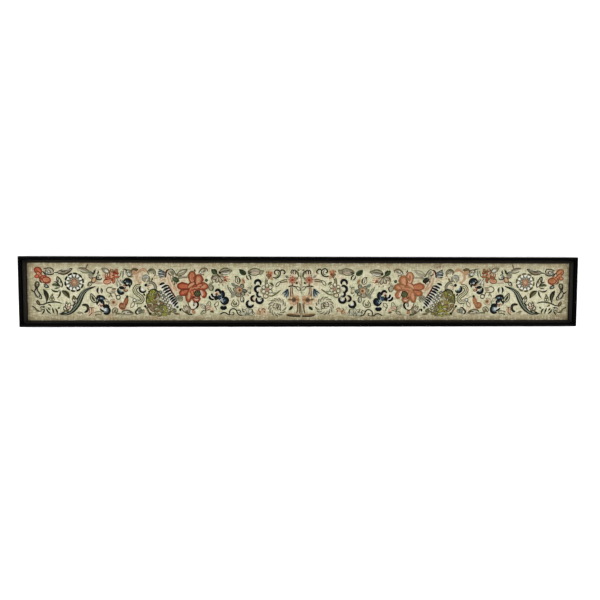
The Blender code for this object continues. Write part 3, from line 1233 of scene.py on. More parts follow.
def rested(stitch):
    """How high a stitch lies on those sewn before it, at shares of its length. It then counts as sewn."""
    _, spine, width, form, _, _, rise, _ = stitch
    share = np.linspace(0.01, 0.99, int(lengths_of(spine)[-1] / RELIEF_STEP) + 8)
    across = np.linspace(-0.95, 0.95, int(width / 0.4) + 4)
    point, side = walk(spine, share)
    swell = girth(form, share)
    spots = point + side * (across[:, None] * width / 2 * swell)[..., None]
    cell = tuple(
        np.clip(spots.reshape(-1, 2).T / RELIEF_STEP, 0, np.array(relief.shape)[:, None] - 1).astype(int),
    )
    below = relief[cell].reshape(len(across), len(share))
    lift = np.percentile(below, CORD_REST if form is CORD else PADDED_REST, axis=0)
    reach = int(REST_EASE * width / RELIEF_STEP) + 1
    lift = np.convolve(np.pad(lift, reach, "edge"), np.full(2 * reach + 1, 1 / (2 * reach + 1)), "valid")
    dome = RIM_HEIGHT + (1 - RIM_HEIGHT) * np.sqrt(1 - across ** 2)
    np.maximum.at(relief, cell, (lift + dome[:, None] * rise * swell ** 0.5).ravel())
    return share, lift


def drawn_down(proud):
    """How far stitches stand once their thread is pulled tight: a heap gives far more than a single one."""
    return DRAW * np.log1p(proud / DRAW)


def led(stitch, rest, node, place):
    """One blank led along its line: its points, its thread directions in mm, and its shade."""
    blank, spine, width, form, _, fade, rise, slant = stitch
    (u, v, h), faces = BLANKS[blank]
    if form is CORD:
        share, swell = cord_steps(u, spine, width)
    else:
        share = (1 - np.cos(np.pi * u)) / 2
        swell = girth(form, share)
    point, side = walk(spine, share)
    half = width / 2 * swell + (0 if form is CORD else EDGE_EASE)
    s, t = (point + side * (v * half)[:, None]).T
    x, y = place(s, t)
    above = np.interp(share, *rest) + h * rise * swell ** 0.5
    proud = np.where(h > 0, drawn_down(np.maximum(above, 0)), -SUNK)
    z = silk_height(node, x, y) + proud * MM
    long = share * lengths_of(spine)[-1]
    threads = np.stack([v * half + slant * long, long - slant * v * half], 1)
    jitter = chance.uniform(-0.10, 0.10)
    shade = np.clip(fade(share, v) + jitter, 0, 1)
    return np.stack([x, y, z], 1), threads, shade, faces


def work(name, right_dyes=None):
    """Works all that is in the hoop as one piece for each band, and empties the hoop."""
    sizes = []
    rests = [rested(stitch) for stitch in hoop]
    for band, node, place, mirrored in BANDS:
        swaps = (right_dyes or {}) if mirrored else {}
        points, threads, shades, faces, dyes, first = [], [], [], [], [], 0
        used = []
        for stitch, rest in zip(hoop, rests):
            xyz, uv, shade, quads = led(stitch, rest, node, place)
            dye = swaps.get(stitch[4], stitch[4])
            if dye not in used:
                used.append(dye)
            points.append(xyz)
            threads.append(uv)
            shades.append(shade)
            for quad in quads:
                corners = tuple(first + k for k in quad)
                faces.append(corners[::-1] if mirrored else corners)
            dyes += [used.index(dye)] * len(quads)
            first += len(xyz)
        mesh = bpy.data.meshes.new(name)
        mesh.from_pydata(np.vstack(points), [], faces)
        corners = np.zeros(len(mesh.loops), dtype=np.int32)
        mesh.loops.foreach_get("vertex_index", corners)
        mesh.uv_layers.new(name="threads").data.foreach_set("uv", np.vstack(threads)[corners].ravel())
        mesh.attributes.new("shade", "FLOAT", "POINT").data.foreach_set("value", np.concatenate(shades))
        mesh.polygons.foreach_set("material_index", dyes)
        mesh.polygons.foreach_set("use_smooth", [True] * len(faces))
        for dye in used:
            mesh.materials.append(flosses[dye])
        mesh.update()
        piece = bpy.data.objects.new(name, mesh)
        bpy.context.scene.collection.objects.link(piece)
        hand_over(piece, name + "_" + band, "embroidered_silk")
        sizes.append(len(faces))
    print(name, len(hoop), "stitches,", sizes, "faces")
    hoop.clear()


print("bands", [band[0] for band in BANDS])
# %% [markdown]
# ## The outer end of each band
# A ruffled blossom fills the corner. Its lobes are fat satin petals, dark at their rims, so each one gets a
# wine-red outline and a paler heart. Two long outlined leaves hang from the upper edge beside it.

# %% Corner blossom and its leaves
for foot, tip, width, dye in (
    ((21, 77.5), (13, 75.5), 6, VERMILION), ((25, 75.5), (20, 81), 6, CORAL),
    ((25.5, 76), (22, 69.5), 5.5, VERMILION), ((24.5, 82.5), (13.5, 90.5), 11, VERMILION),
    ((23, 79.5), (16, 83.5), 5, CORAL), ((25, 77), (29.5, 71), 6, CORAL),
    ((28, 78.5), (32, 73), 4.5, VERMILION), ((26.5, 71.5), (39.8, 68.5), 11.5, CORAL),
):
    lobe(foot, tip, width, dye, dark_edge, rim=RUST)
satin(smooth_line([(29, 71), (33, 70.4), (37, 69.4)]), 4.2, ORANGE, ROUND, even)
knot((22, 73), 3, MAROON)
knot((19, 81), 2.2, BUFF)
blade([(20, 69.5), (24, 66.6), (28.5, 65)], 2.6, MAROON)
strokes(RUST, 1.1, [(16, 88.5), (19, 85), (23, 83)], [(30, 66.5), (34, 66), (38, 68)])
blade([(26, 86), (29.5, 81.8), (34, 77.2)], 2.6, INK)
leaf((28, 61.6), (36.6, 57.2), 4.6, SLATE)
strokes(INK, 1.2, [(27.6, 62.4), (31, 63), (35.4, 60), (36.8, 56.8)], [(28, 60.4), (32, 56.8), (36.6, 56.8)])
knot((32.3, 59.6), 1.8, WHITE)
work("corner_blossom", {VERMILION: ORANGE, CORAL: ORANGE, MAROON: BROWN})

leaf((46, 82), (29, 89.5), 9.6, GREY, bend=0.12)
strokes(
    INK, 1.4, [(28.6, 89), (34.7, 90.6), (42.4, 90.2), (44.8, 86.2), (45, 83.6)],
    [(30.6, 85), (35, 79.8), (41.6, 79.4), (46, 81.6)],
)
strokes(INK, 1, [(36.4, 88.4), (39.6, 85.6), (39.8, 82)], [(33, 87.5), (31.5, 85.5)])
leaf((37, 81.4), (32, 83.6), 3.2, STEEL, even)
knot((37.4, 85), 2.2, WHITE)
knot((33.8, 83), 1.8, WHITE)
blade([(45, 82.4), (51, 83.2), (58.5, 82.8)], 2.2, INK)
leaf((51.5, 83.6), (77.5, 90), 8.4, GREY, bend=-0.10, rim=INK)
strokes(BROWN, 1.2, [(56, 82.2), (62, 80.6), (68, 82.4), (73, 86)], [(59, 84), (66, 84.4)])
strokes(INK, 1, [(57.6, 85.2), (66, 86.6), (74.5, 89)])
strokes(CREAM, 1, [(60, 87.2), (67, 88.4), (73, 89.2)])
work("top_edge_leaves")

# %% Pods and curved blades at the left edge
ring((16.9, 62.8), 3.6, INK, 1.4, 1.15)
disc((16.9, 62.8), 2.4, OLIVE)
knot((17.2, 63.6), 1.6, CREAM)
leaf((13.6, 52), (21.6, 38.4), 9.2, GREY, dark_edge, -0.06)
strokes(
    INK, 1.4, [(13.6, 65), (13.2, 60), (14.2, 55.5), (12.4, 50), (15, 44), (18.6, 39.4)],
    [(19.6, 60), (17.2, 56.5), (17.6, 52), (21, 46.5), (24, 41.6), (23.6, 37.8), (20.4, 38)],
)
strokes(INK, 1, [(16, 58.6), (15.2, 55), (15, 51.4)], [(21.6, 44.4), (19.4, 40.6)])
blade([(6, 53.6), (9, 51.2), (12.4, 48.4)], 2.4, INK)
blade([(27, 54.6), (31, 47.6), (33.4, 40), (31.8, 30.2)], 7.6, INK, pale_edge)
line([(31.6, 47), (33, 41), (32.4, 35)], OLIVE, 0.8)
blade([(15.8, 35.8), (17.8, 31), (21.4, 26)], 4.8, BROWN)
strokes(INK, 1.1, [(15.8, 35.8), (19.6, 32.4), (21.6, 26)], [(15.6, 35), (15.8, 30.5), (20.4, 26)])
work("edge_pods_and_blades")

strokes(
    OLIVE, 1.2, [(42.5, 45.6), (40.4, 42), (37.6, 40)], [(42.5, 45.6), (43.2, 42), (45.4, 40)],
    [(37.2, 38.4), (41.5, 39.4), (45.6, 38.6)],
)
blade([(42.6, 47), (42.4, 44.5), (41.6, 42.4)], 2.6, OLIVE)
ring((39.6, 36.6), 2.2, OLIVE, 1)
ring((43.6, 36.4), 2.1, OLIVE, 1)
knot((41.6, 40.8), 1.6, GREY)
work("small_bud")

# %% Grass sprig and the olive branch
strokes(
    INK, 1.6, [(51.2, 76.6), (55.2, 73), (58.4, 68), (60.2, 62.4), (58.6, 56.8)],
    [(51.2, 76.4), (50.6, 71.5), (52, 66)],
)
strokes(INK, 1, [(54, 73.2), (53.2, 69), (55, 64.6)])
blade([(45, 67.6), (50, 66.2), (54.6, 61.4), (58.4, 57.2)], 2.6, INK)
blade([(41.4, 61.8), (47, 62.8), (53, 60), (56.4, 57.4)], 3.8, GREEN)
blade([(46.2, 55.4), (51, 56.2), (56, 57.2)], 2.4, INK)
blade([(40.4, 54.6), (44.5, 51.2), (50.5, 50), (55.8, 53.2)], 2.9, INK)
blade([(55.5, 53), (55.8, 47), (53.4, 41.6), (49.2, 37.4)], 3, INK)
strokes(OLIVE, 1, [(42.4, 60.4), (47, 60.4), (51.4, 58.8)], [(56.6, 69), (57.4, 64)])
work("grass_sprig")

petal((59.5, 50), (71, 38.6), 7.8, OLIVE, SICKLE, even, 0.20)
strokes(INK, 1.7, [(57.8, 50.8), (62.4, 51), (67.2, 47.8), (70, 43.4), (71.4, 38.2)])
strokes(OLIVE, 1, [(60, 48.6), (64.5, 43.5), (70.5, 39)])
work("olive_leaf")

blade([(20.4, 27.6), (27, 28), (34.8, 31), (46, 32.2), (53, 31.2), (58.6, 29.4)], 2.6, INK, form=STRAP)
blade([(34.4, 28.2), (37.6, 26.8), (40.8, 23.6)], 2.8, BROWN)
strokes(
    INK, 1.3, [(6.4, 25.6), (11.6, 22.6), (14.6, 19), (18.4, 16), (24.2, 17.2)],
    [(13.6, 22), (14.8, 18.5), (15.8, 15)],
)
blade([(12, 21.5), (15.5, 18), (20.4, 16.6)], 2.6, OLIVE)
strokes(INK, 1.1, [(20.8, 21.8), (26, 25), (30, 22.8)], [(21, 20), (26, 19), (30, 20.6)])
leaf((21.5, 21), (28, 22.6), 3, GREY)
knot((27.4, 22.8), 2.4, INK)
for points in (
    [(29, 18.6), (26.8, 15), (23.8, 10.4)], [(31.2, 20.8), (34.4, 15.4), (39.6, 11)],
    [(34.6, 22.8), (36.2, 20), (38.8, 17.6)], [(41.2, 22.2), (43.2, 16.8), (44.6, 11.2)],
    [(46.2, 20.6), (49.6, 16.6), (51, 9.6)], [(54.2, 23.6), (52.6, 21.4), (50.4, 19.8)],
):
    blade(points, 3, OLIVE)
    line(points, INK, 0.9)
work("olive_branch")

# %% [markdown]
# ## Roundel, long leaf and fan
# The roundel is a flower seen from above inside a ring of dark dashes. Repeated petals are laid by one
# spray that turns round a centre, as the embroiderer would divide the circle first and then fill it in. The
# long leaf is one broad satin blade with a dark line down each side and pale stripes along its midrib.

# %% Roundel
ROUNDEL = (80.2, 66.2)
spray(ROUNDEL, 0, 360, 12, 6, 13.8, 4.8, WHITE, PETAL, pale_tip)
spray(ROUNDEL, 15, 360, 12, 3.4, 13.9, 4, SLATE, BLADE, dark_edge)
spray(ROUNDEL, 0, 360, 12, 1.6, 9.8, 1.9, BROWN, BLADE, pale_tip)
spray(ROUNDEL, 15, 360, 12, 1.6, 7, 1.3, PEACH, BLADE, even)
for k in range(12):
    line([turned(ROUNDEL, 7.4, 15 + 30 * k), turned(ROUNDEL, 13.6, 15 + 30 * k)], INK, 0.8)
for k in range(10):
    blade(arc(ROUNDEL, 15.3, 36 * k - 6, 32, 5), 3.5, INK, even, SHORT_BAR)
knot(ROUNDEL, 2.4, GREY)
work("roundel", {INK: OLIVE})

# %% Long leaf, fan and small leaves
LONG_LEAF = smooth_line(
    [
        (53.5, 11.6), (63, 11.4), (73, 15.6), (82, 24.5), (88.7, 36), (93.4, 45.5), (99.5, 52.2), (108, 56),
        (116, 58.8),
    ],
)
satin(LONG_LEAF, 9.4, GREEN, LONG_BLADE)
rim_of(LONG_LEAF, 9.2, LONG_BLADE, INK)
satin(beside(LONG_LEAF, 1.8, 0.1, 0.88), 1.5, SLATE, STRAP, even)
satin(beside(LONG_LEAF, -1.3, 0.08, 0.88), 1.6, SLATE, STRAP, even)
cord(beside(LONG_LEAF, 0.4, 0.05, 0.86), INK, 1)
strokes(CREAM, 0.9, [(58, 14.6), (66, 14.8), (73, 18.6)])
strokes(INK, 1.2, [(57, 13.2), (66, 16.4), (75, 22)])
work("long_leaf")

for tip, width in (((61.4, 23.5), 4.6), ((65.6, 29.5), 5.2), ((71.6, 30.5), 5.4), ((77, 26.5), 5.2)):
    petal((69, 14.5), tip, width, CREAM, PETAL, even, rim=INK)
lobe((66, 21.5), (73.4, 21.8), 4, PINK, pale_edge, rim=INK)
strokes(
    MAROON, 1.1, [(62.8, 22), (64.4, 26), (67, 24.4)], [(68.4, 26), (69.4, 29)], [(72.6, 24.6), (74.6, 27)],
)
strokes(OLIVE, 1.1, [(59.6, 19.4), (63.5, 17.6), (68.6, 17.8)], [(60.6, 16.6), (66, 15.4), (71.6, 17.4)])
blade([(64.8, 29.4), (66.3, 31.8), (68, 29.4)], 2.6, OLIVE)
leaf((83.5, 29.6), (78.6, 43), 7.4, CREAM, dark_edge, 0.05, rim=INK)
leaf((81.2, 35.5), (78.7, 42.6), 5, OLIVE, dark_edge)
strokes(INK, 1, [(82.6, 30.6), (81.4, 35.4)], [(80.8, 30.4), (79.6, 34.4)])
work("small_fan")

blade([(92.4, 26.4), (97, 27.2), (101.4, 25.6), (102.4, 21), (100.8, 16.4), (96.4, 13.6)], 5.4, INK, form=BAR)
blade([(92.4, 27.6), (97, 28), (101.6, 28.2)], 2, INK)
strokes(CREAM, 1.2, [(95.5, 24.4), (99, 23.4), (99.6, 19.4), (97, 16.4)])
strokes(OLIVE, 1.1, [(84, 14.2), (90, 14.4), (95, 11.2)], [(86, 12.4), (91, 12)])
work("dark_curl")

strokes(
    BROWN, 1.2, [(102.4, 22.6), (108, 22), (113.8, 22.6)], [(108.4, 22), (109, 16), (107.6, 11), (103.4, 8)],
)
blade([(107.2, 21), (107, 14), (103.8, 9.4)], 3.4, PINK, pale_edge)
blade([(110.6, 21.4), (110.8, 16.5), (109, 11.6)], 3.2, BUFF, dark_edge)
strokes(RUST, 0.9, [(105.4, 20.4), (105.4, 15), (103.4, 11.6)])
work("pink_hook")

# %% [markdown]
# ## Buds, small peony and the two dark flowers
# The dark flowers are the heaviest stitching: curled petals seen from the side, each a thick black crescent
# with a blue or steel lining. A crescent is a satin band along an arc, laid over the lining, which is a
# second band inside it that pales towards the opening.

# %% Bud cluster between the roundel and the small peony
leaf((106, 83.6), (87, 90.2), 6.8, GREY, bend=-0.1)
strokes(BROWN, 1.3, [(87.2, 90), (93, 91), (100, 89.8), (105.6, 85.8)])
strokes(OLIVE, 1.3, [(90.5, 86), (96.6, 82.8), (105, 82.4)])
strokes(BROWN, 1.3, [(100.4, 90), (102.4, 94), (104.2, 97.6)])
disc((108.8, 78.6), 5.4, GREY, pale_edge)
strokes(INK, 1.5, [(104.4, 84.4), (108, 84.4), (111.6, 82.2), (113.2, 78.6)])
strokes(BROWN, 1.2, [(104.8, 75.6), (108.4, 73.2), (112.4, 74.6)])
leaf((111, 82.4), (103.4, 84.6), 3.6, SLATE, even)
blade([(114.2, 79.6), (115, 84.5), (117.8, 89.2)], 3.6, INK)
blade([(119.4, 79.6), (121.6, 83.5), (121, 87.6)], 2.8, BLACK)
strokes(BLACK, 1.6, [(119.2, 78), (118.2, 74.2), (120.4, 71), (125, 70.6), (127.4, 73.8)])
strokes(BLACK, 1.2, [(121.6, 77.6), (121, 74.6), (123.8, 72.8)], [(119.2, 78), (122.5, 79), (125.4, 77)])
knot((124.6, 75.6), 2.6, CREAM)
lobe((116.4, 74.2), (111.4, 65.6), 7.6, BUFF, dark_edge, rim=BROWN)
strokes(PINK, 1.5, [(117, 66.6), (122, 66.4), (128.5, 65)])
strokes(GREY, 1.1, [(117, 64.6), (123, 64.2), (129.5, 63.8)], [(117.4, 68.4), (121, 68.2)])
leaf((110, 66.8), (103.2, 59.4), 5.8, CREAM, even, rim=INK, vein=OLIVE)
line([(109, 67), (104.8, 64.6), (103.2, 59.6)], INK, 1.3)
work("bud_cluster", {BLACK: NAVY})

open_leaf((117, 30.8), (108.4, 46.8), 8.4, OLIVE, 0.06)
blade([(121.6, 58), (119.4, 52), (121.6, 45.4)], 3.6, INK, pale_edge)
leaf((125.4, 54.8), (125.8, 47.6), 2.2, GREY, even)
blade([(124.8, 57.2), (127.8, 52.4), (126.4, 45.8)], 2.6, INK, pale_edge)
line([(123.2, 55.6), (122.6, 51.4), (123.6, 47.6)], WHITE, 1.2)
work("leaves_by_the_dark_flower")

# %% Small peony
for foot, tip, width in (
    ((144, 82), (133.4, 76), 11), ((148, 75), (153.4, 86), 10), ((145, 70), (146.6, 82), 8),
):
    lobe(foot, tip, width, PEACH)
for foot, tip, width, dye, bow in (
    ((149.5, 80), (153.8, 88.6), 5.6, ORANGE, 0), ((144.4, 80.6), (156.4, 81.6), 6, VERMILION, 0),
    ((149, 76.8), (157, 75.6), 4.4, CORAL, -0.1), ((147.2, 75), (147, 64.2), 4.2, CORAL, 0.1),
    ((143.4, 71.8), (130.4, 66.4), 8.8, PEACH, 0.1), ((142, 76), (133.6, 73.4), 3.8, CORAL, 0.2),
    ((144, 80), (143.4, 88), 4, PEACH, 0.1),
):
    lobe(foot, tip, width, dye, pale_edge, bow, rim=RUST)
strokes(
    RUST, 1.3, [(134, 81), (133.4, 76.6), (135.6, 73)], [(138.4, 83), (136.8, 78), (139, 74)],
    [(142, 84), (140.4, 79.6), (142.4, 75.6)],
)
strokes(
    RUST, 1.2, [(139, 70.4), (143, 72.8), (147, 71)], [(153, 84.6), (148.6, 83), (145.6, 84.8)],
    [(142.6, 66), (144.4, 69.5), (147.4, 71.6)],
)
strokes(
    MAROON, 1.2, [(149, 85.5), (151.6, 82), (155, 81)], [(131, 69.6), (134, 71), (138, 70.4)],
    [(145, 78.5), (148.4, 77.4)],
)
strokes(
    CREAM, 1, [(136, 81.6), (135.2, 77.4)], [(140, 81.4), (138.8, 77.4)], [(145.2, 83), (145.6, 78.8)],
    [(150, 78.6), (154, 78.2)], [(143, 68.6), (145.6, 66)],
)
leaf((140.4, 83), (127.4, 90.2), 7.8, GREY, rim=OLIVE)
leaf((138.8, 83.8), (132.4, 87.8), 3.2, WHITE, even)
leaf((146.8, 84.8), (142.4, 88.8), 4.4, BUFF, rim=BROWN)
work("small_peony", {VERMILION: ORANGE, CORAL: ORANGE, MAROON: BROWN, RUST: BROWN})

# %% Leaves beside the small peony
blade([(164.6, 88.4), (164.2, 80), (162.2, 71.4)], 3.2, SLATE, even)
strokes(OLIVE, 1.2, [(161, 86), (160, 80), (158, 75)], [(162.6, 89), (168, 88.8), (172.6, 86)])
leaf((179.4, 78), (169.2, 87.6), 10, GREY, even, rim=OLIVE)
strokes(WHITE, 1.3, arc((174.6, 82.4), 3.7, 100, 210, 7), arc((175.2, 82), 1.7, 80, 230, 6))
strokes(OLIVE, 1, [(168.4, 87.8), (171.2, 83), (173, 79)], [(176.8, 85), (178.8, 81.6), (178, 78.6)])
strokes(GREEN, 1.3, [(165.6, 89), (168.4, 88.4), (171.4, 86.4)], [(173.6, 84), (175.8, 82.6)])
strokes(GREEN, 1.2, [(171.6, 77), (177, 75.4), (181.4, 76)])
leaf((178.4, 86.2), (189.6, 88.4), 6.8, OLIVE, rim=BROWN)
leaf((183.4, 79.6), (178.8, 83), 3.6, GREY)
knot((189.2, 88), 2.2, INK)
work("striped_leaves")

# %% Upper dark flower
crescent((171.2, 64.8), 9.2, 247, BLUE, 205, 4.5)
lobe((164, 67), (169.6, 62.2), 3.8, BLACK)
lobe((167.8, 62), (172, 60), 3.2, BLACK)
blade([(170.5, 61.6), (174.6, 61), (175, 56.6)], 3.8, BLACK, even, BAR)
disc((167, 58.4), 2.8, PINK, pale_edge)
strokes(MAROON, 1.4, [(163.6, 60.8), (167, 61.2), (169.6, 58.8)], [(168.8, 57.2), (166.6, 55.8), (164.2, 57)])
crescent((160.8, 52.2), 8.2, 52, STEEL, 185, 4.3)
lobe((156.4, 57.2), (166.4, 56.2), 5.8, BLACK)
disc((163.6, 47.8), 2.4, BLACK, even)
strokes(MAROON, 1.3, [(164, 53.8), (166.4, 50.8), (169.6, 50.3), (172.2, 53.6)])
strokes(ORANGE, 1.4, [(165.4, 54.8), (167.6, 52.6), (170.6, 54)])
leaf((163, 65.6), (154.2, 69.4), 4.4, GREY, even)
leaf((162, 62), (153.6, 61.6), 4.4, GREY)
strokes(OLIVE, 1.1, [(153.5, 72), (156, 68.2), (161, 71)], [(159, 68.5), (158.2, 64.5), (160.6, 61.5)])
strokes(SLATE, 1.4, [(153, 68.4), (153.4, 62), (154, 57.6)], [(163.4, 70.6), (162.6, 67), (164.4, 63)])
strokes(WHITE, 1.2, [(155.4, 71), (158.4, 67.6), (160.2, 63.6)], [(156, 65), (157, 60.6)])
work("upper_dark_flower")

# %% Pale bud with curls
petal((151, 52.6), (136, 52.8), 9, CREAM, OVAL, even)
strokes(
    OLIVE, 1.3,
    [(144.8, 55.8), (141.4, 57.8), (137, 56.4), (135, 52.8), (136.4, 49.2), (141.4, 47.4), (149.8, 48.2)],
    [(144.6, 55.6), (152.4, 55.4)],
)
strokes(BROWN, 1, [(144, 53.6), (151.6, 53.2)], [(143, 51), (150.8, 50.6)])
strokes(PINK, 1.3, [(143, 52.3), (149.4, 52)])
strokes(
    OLIVE, 1.2, [(140.7, 47.2), (143.4, 43.8), (144.6, 40)], [(149.3, 47.6), (150.6, 44), (152.8, 41.4)],
    [(143.2, 44), (140.4, 42.4), (138.6, 39.4)],
)
disc((155.2, 40.4), 2.8, CREAM, even)
ring((155.2, 40.4), 3.5, INK, 1.3)
line([(152.6, 37.6), (156, 36.4), (158.8, 38.6)], OLIVE, 1.2)
work("pale_bud")

spray((146.8, 31.4), 20, 360, 6, 1.2, 4.9, 3.2, BUFF, ROUND, even)
disc((147, 31.4), 2.3, BROWN, pale_edge)
knot((147.2, 31.6), 1.8, RUST)
strokes(GREY, 1, arc((146.6, 31.2), 6.2, 60, 290, 10))
work("orange_flower")

# %% Lower dark flower
lobe((119.8, 36), (130.4, 36.8), 7.2, BLUE, pale_edge)
blade(
    [(118.6, 36), (119.4, 40.8), (123, 42.6), (126.6, 41.8), (130.6, 40), (131.8, 36)], 4, BLACK, even, HOOK,
)
for foot, tip, width in (
    ((119.4, 35.4), (127, 34), 3.6), ((123.6, 37), (131, 28.2), 6.2), ((122.8, 38), (122, 42.6), 3.6),
    ((126.6, 28.4), (134, 22), 5.8), ((129.8, 26), (140, 23), 7.2),
):
    lobe(foot, tip, width, BLACK)
leaf((125.6, 32.6), (129, 29.4), 2.4, BLUE, pale_tip)
leaf((124, 38.4), (128.4, 37.8), 2, STEEL, even)
blade([(122.5, 33), (119.2, 31), (118.4, 26.8)], 3.4, BLACK, even, BAR)
strokes(BROWN, 1.3, [(119.4, 26.6), (121.8, 25)])
disc((125.8, 26.4), 3.2, PINK, pale_edge)
strokes(MAROON, 1.2, [(122.4, 28.2), (125.6, 25.6), (129.8, 27)], [(123.4, 24), (127.2, 23.2)])
disc((133.4, 18), 5, STEEL, dark_edge)
crescent((133.8, 17.4), 8.4, 150, STEEL, 220, 4.4)
blade([(123.4, 20.6), (126.5, 17.4), (131.4, 15)], 3.6, BLACK, even, BAR)
strokes(WHITE, 1.5, [(125.4, 21.6), (128, 19.4), (130.4, 18.4)])
strokes(OLIVE, 1.1, [(132.5, 38.8), (136.5, 35.8), (138.8, 30), (137.8, 26.6)], [(133, 34.5), (136.4, 31)])
leaf((133, 36.2), (137.8, 33), 3.4, CREAM, even, rim=GREY)
work("lower_dark_flower")

# %% Gourd and the leaves along the lower edge
lobe((168.6, 25.4), (156.2, 24.8), 11, TAWNY, dark_edge)
lobe((164.2, 23), (170.2, 41), 7.6, TAWNY, dark_edge, -0.05)
strokes(
    RUST, 1.1, arc((162.4, 25), 5.9, 100, 230, 9), [(168.4, 26.6), (171, 32), (172, 38.4)],
    [(164.2, 31), (166.6, 36.6), (169, 40.4)], [(158.6, 27), (161.4, 28.6), (164, 27)],
    [(159.6, 22.8), (162.6, 21.4)], [(167, 26), (168.2, 31), (168.8, 36)],
)
disc((170.7, 41.2), 2.3, INK)
work("gourd", {RUST: ORANGE})

leaf((148.4, 12), (150.2, 20.8), 7, GREY)
strokes(OLIVE, 1.3, [(146.4, 11.6), (144.2, 17), (148.8, 21.8), (153.4, 20), (153.4, 15.4), (150.4, 11.6)])
strokes(BROWN, 1.2, [(147, 12.6), (148.6, 16.6), (151.8, 19)], [(150, 13), (151.4, 16)])
petal((160, 11.4), (180.6, 11.2), 8.8, GREY, HILLOCK, dark_edge, 0.12)
strokes(OLIVE, 1.6, [(160.4, 12.8), (163.6, 16.8), (170.5, 17.8), (176.5, 15.7), (181, 12)])
strokes(INK, 1.2, [(169.6, 13.6), (174.5, 14.4), (178, 12)], [(163, 11.4), (167, 13)])
blade([(149, 10.4), (156, 11.6), (163.4, 11)], 2.4, GREEN)
strokes(
    OLIVE, 1.2, [(113.4, 13), (117, 14.8), (122.5, 15.4), (127.6, 13.6)],
    [(115.4, 9), (119, 10.8), (124, 10.6), (127.4, 12.2)],
)
knot((115.8, 9.2), 2.4, INK)
knot((121, 13), 2.2, GREY)
work("lower_edge_leaves")

# %% [markdown]
# ## Ribbon, scrolls and shells
# These parts are almost all line: cords couched side by side on bare silk, so that the cream between
# them reads as part of the drawing. Three cords three millimetres apart make the ribbon.

# %% Ribbon and bow
RIBBON = smooth_line(
    [
        (194, 59.6), (188, 59.2), (184, 55), (184.2, 50), (188.4, 45.4), (193.6, 41.8), (196.8, 37.6),
        (195.2, 33.4), (190.4, 31.8), (184, 34),
    ],
)
for gap, width in ((-3, 1.3), (0, 1), (3, 1.3)):
    cord(beside(RIBBON, gap, 0, 0.96), OLIVE, width)
disc((183.2, 35.2), 2.2, WHITE, even)
ring((183.2, 35.2), 2.8, INK, 1.1, 0.9)
leaf((182.6, 32), (176.8, 21.8), 5.6, CREAM, even, rim=OLIVE)
strokes(
    GREY, 1.1, [(173.5, 41.6), (177, 40.6), (180.8, 38)], [(186, 30.5), (188, 27), (187.2, 22.4)],
    [(179, 30), (176.6, 27)],
)
work("ribbon_and_bow")

# %% Pale buff scrolls
blade(
    [(204.6, 84.4), (200, 88.6), (193.6, 86.6), (188.6, 80.6), (187.6, 73), (191, 65.4)], 3, PINK, even,
    STRAP,
)
strokes(
    BUFF, 1.3, [(186.6, 79.4), (190, 84), (194.5, 88), (199.6, 89.8), (203.4, 87.4), (205.8, 83.4)],
    [(190, 82), (194, 85.4), (198.6, 86.8), (202, 84.4)],
)
strokes(
    BUFF, 1.2, [(186.8, 77.8), (185.8, 73), (187.6, 69)], [(190, 71.4), (190.4, 67), (192.8, 63.4)],
    [(180.6, 84), (185.6, 85.4), (188.8, 81.6)], [(183, 78.6), (187.4, 82)],
)
leaf((196.4, 66.8), (190, 64.4), 4, BUFF)
leaf((186.4, 80.4), (180.8, 86.4), 4.6, BUFF, rim=BUFF)
strokes(
    BUFF, 1, [(191.4, 86.6), (196, 89), (201, 88.8)], [(188.2, 78), (187.6, 73)],
    [(181.4, 82), (184.4, 79.6)],
)
work("pale_scrolls", {PINK: BUFF})

SHELL = (213, 82.6)
lobe((207.4, 86.6), (215.6, 89.2), 4.6, SLATE)
for reach, dye, width in ((6.8, OLIVE, 1.3), (4.6, OLIVE, 1.1), (2.4, BROWN, 1)):
    line(arc(SHELL, reach, -18, 205, 9), dye, width)
petal((213, 80), (213, 86), 3.6, GREY, PETAL, pale_edge)
knot((216.8, 81.6), 2.6, BROWN)
strokes(BROWN, 1.1, [(219.8, 83.6), (219.4, 80), (217, 77.2)], [(207.4, 82.4), (208.6, 79)])
work("shell")

# %% Round grey flower, nested arcs and the black crescent
GREY_FLOWER = (203.5, 72.8)
disc(GREY_FLOWER, 6.3, GREY, even)
spray(GREY_FLOWER, 10, 170, 7, 1.4, 6.6, 1.1, SLATE, BLADE)
spray(GREY_FLOWER, 24, 140, 6, 2.4, 6.6, 0.9, WHITE, BLADE)
line(arc(GREY_FLOWER, 6.3, 60, 170, 8), SLATE, 1.4)
line(arc(GREY_FLOWER, 6.5, -50, 90, 6), OLIVE, 1.2)
blade([(206.2, 73), (204.2, 68.2), (202.8, 63.4)], 2.6, CREAM, even)
strokes(OLIVE, 1, [(205.6, 69.6), (204.6, 65.4)], [(199.6, 69), (201, 66.4)])
blade([(215.6, 74.6), (213.8, 71), (211.6, 67.6)], 3.2, BROWN)
strokes(BUFF, 1.1, [(215.6, 74.4), (218, 77), (222.6, 77.8)], [(217.4, 73), (222, 73.4)])
work("round_grey_flower")

for reach, dye, width in ((10.9, INK, 1), (9, GREY, 1.5), (7.2, OLIVE, 0.9), (5.4, CREAM, 1.4)):
    line(arc((210.4, 57.2), reach, -22, 128, 9), dye, width)
disc((203, 61.4), 2.7, BLACK, even)
lobe((204.6, 59.6), (209.8, 56), 4.4, PINK, pale_edge)
strokes(
    BROWN, 1, [(205.4, 58.4), (208, 61.2), (212.4, 61.4)], [(205.4, 55.8), (208.6, 53.2)],
    [(207.4, 63.4), (211, 65)],
)
work("nested_arcs")

crescent((197.8, 54.6), 7.5, 52, WHITE, 225, 3.6)
blade([(198.4, 47), (201.8, 42)], 3, BLACK, even)
work("black_crescent", {WHITE: STEEL})

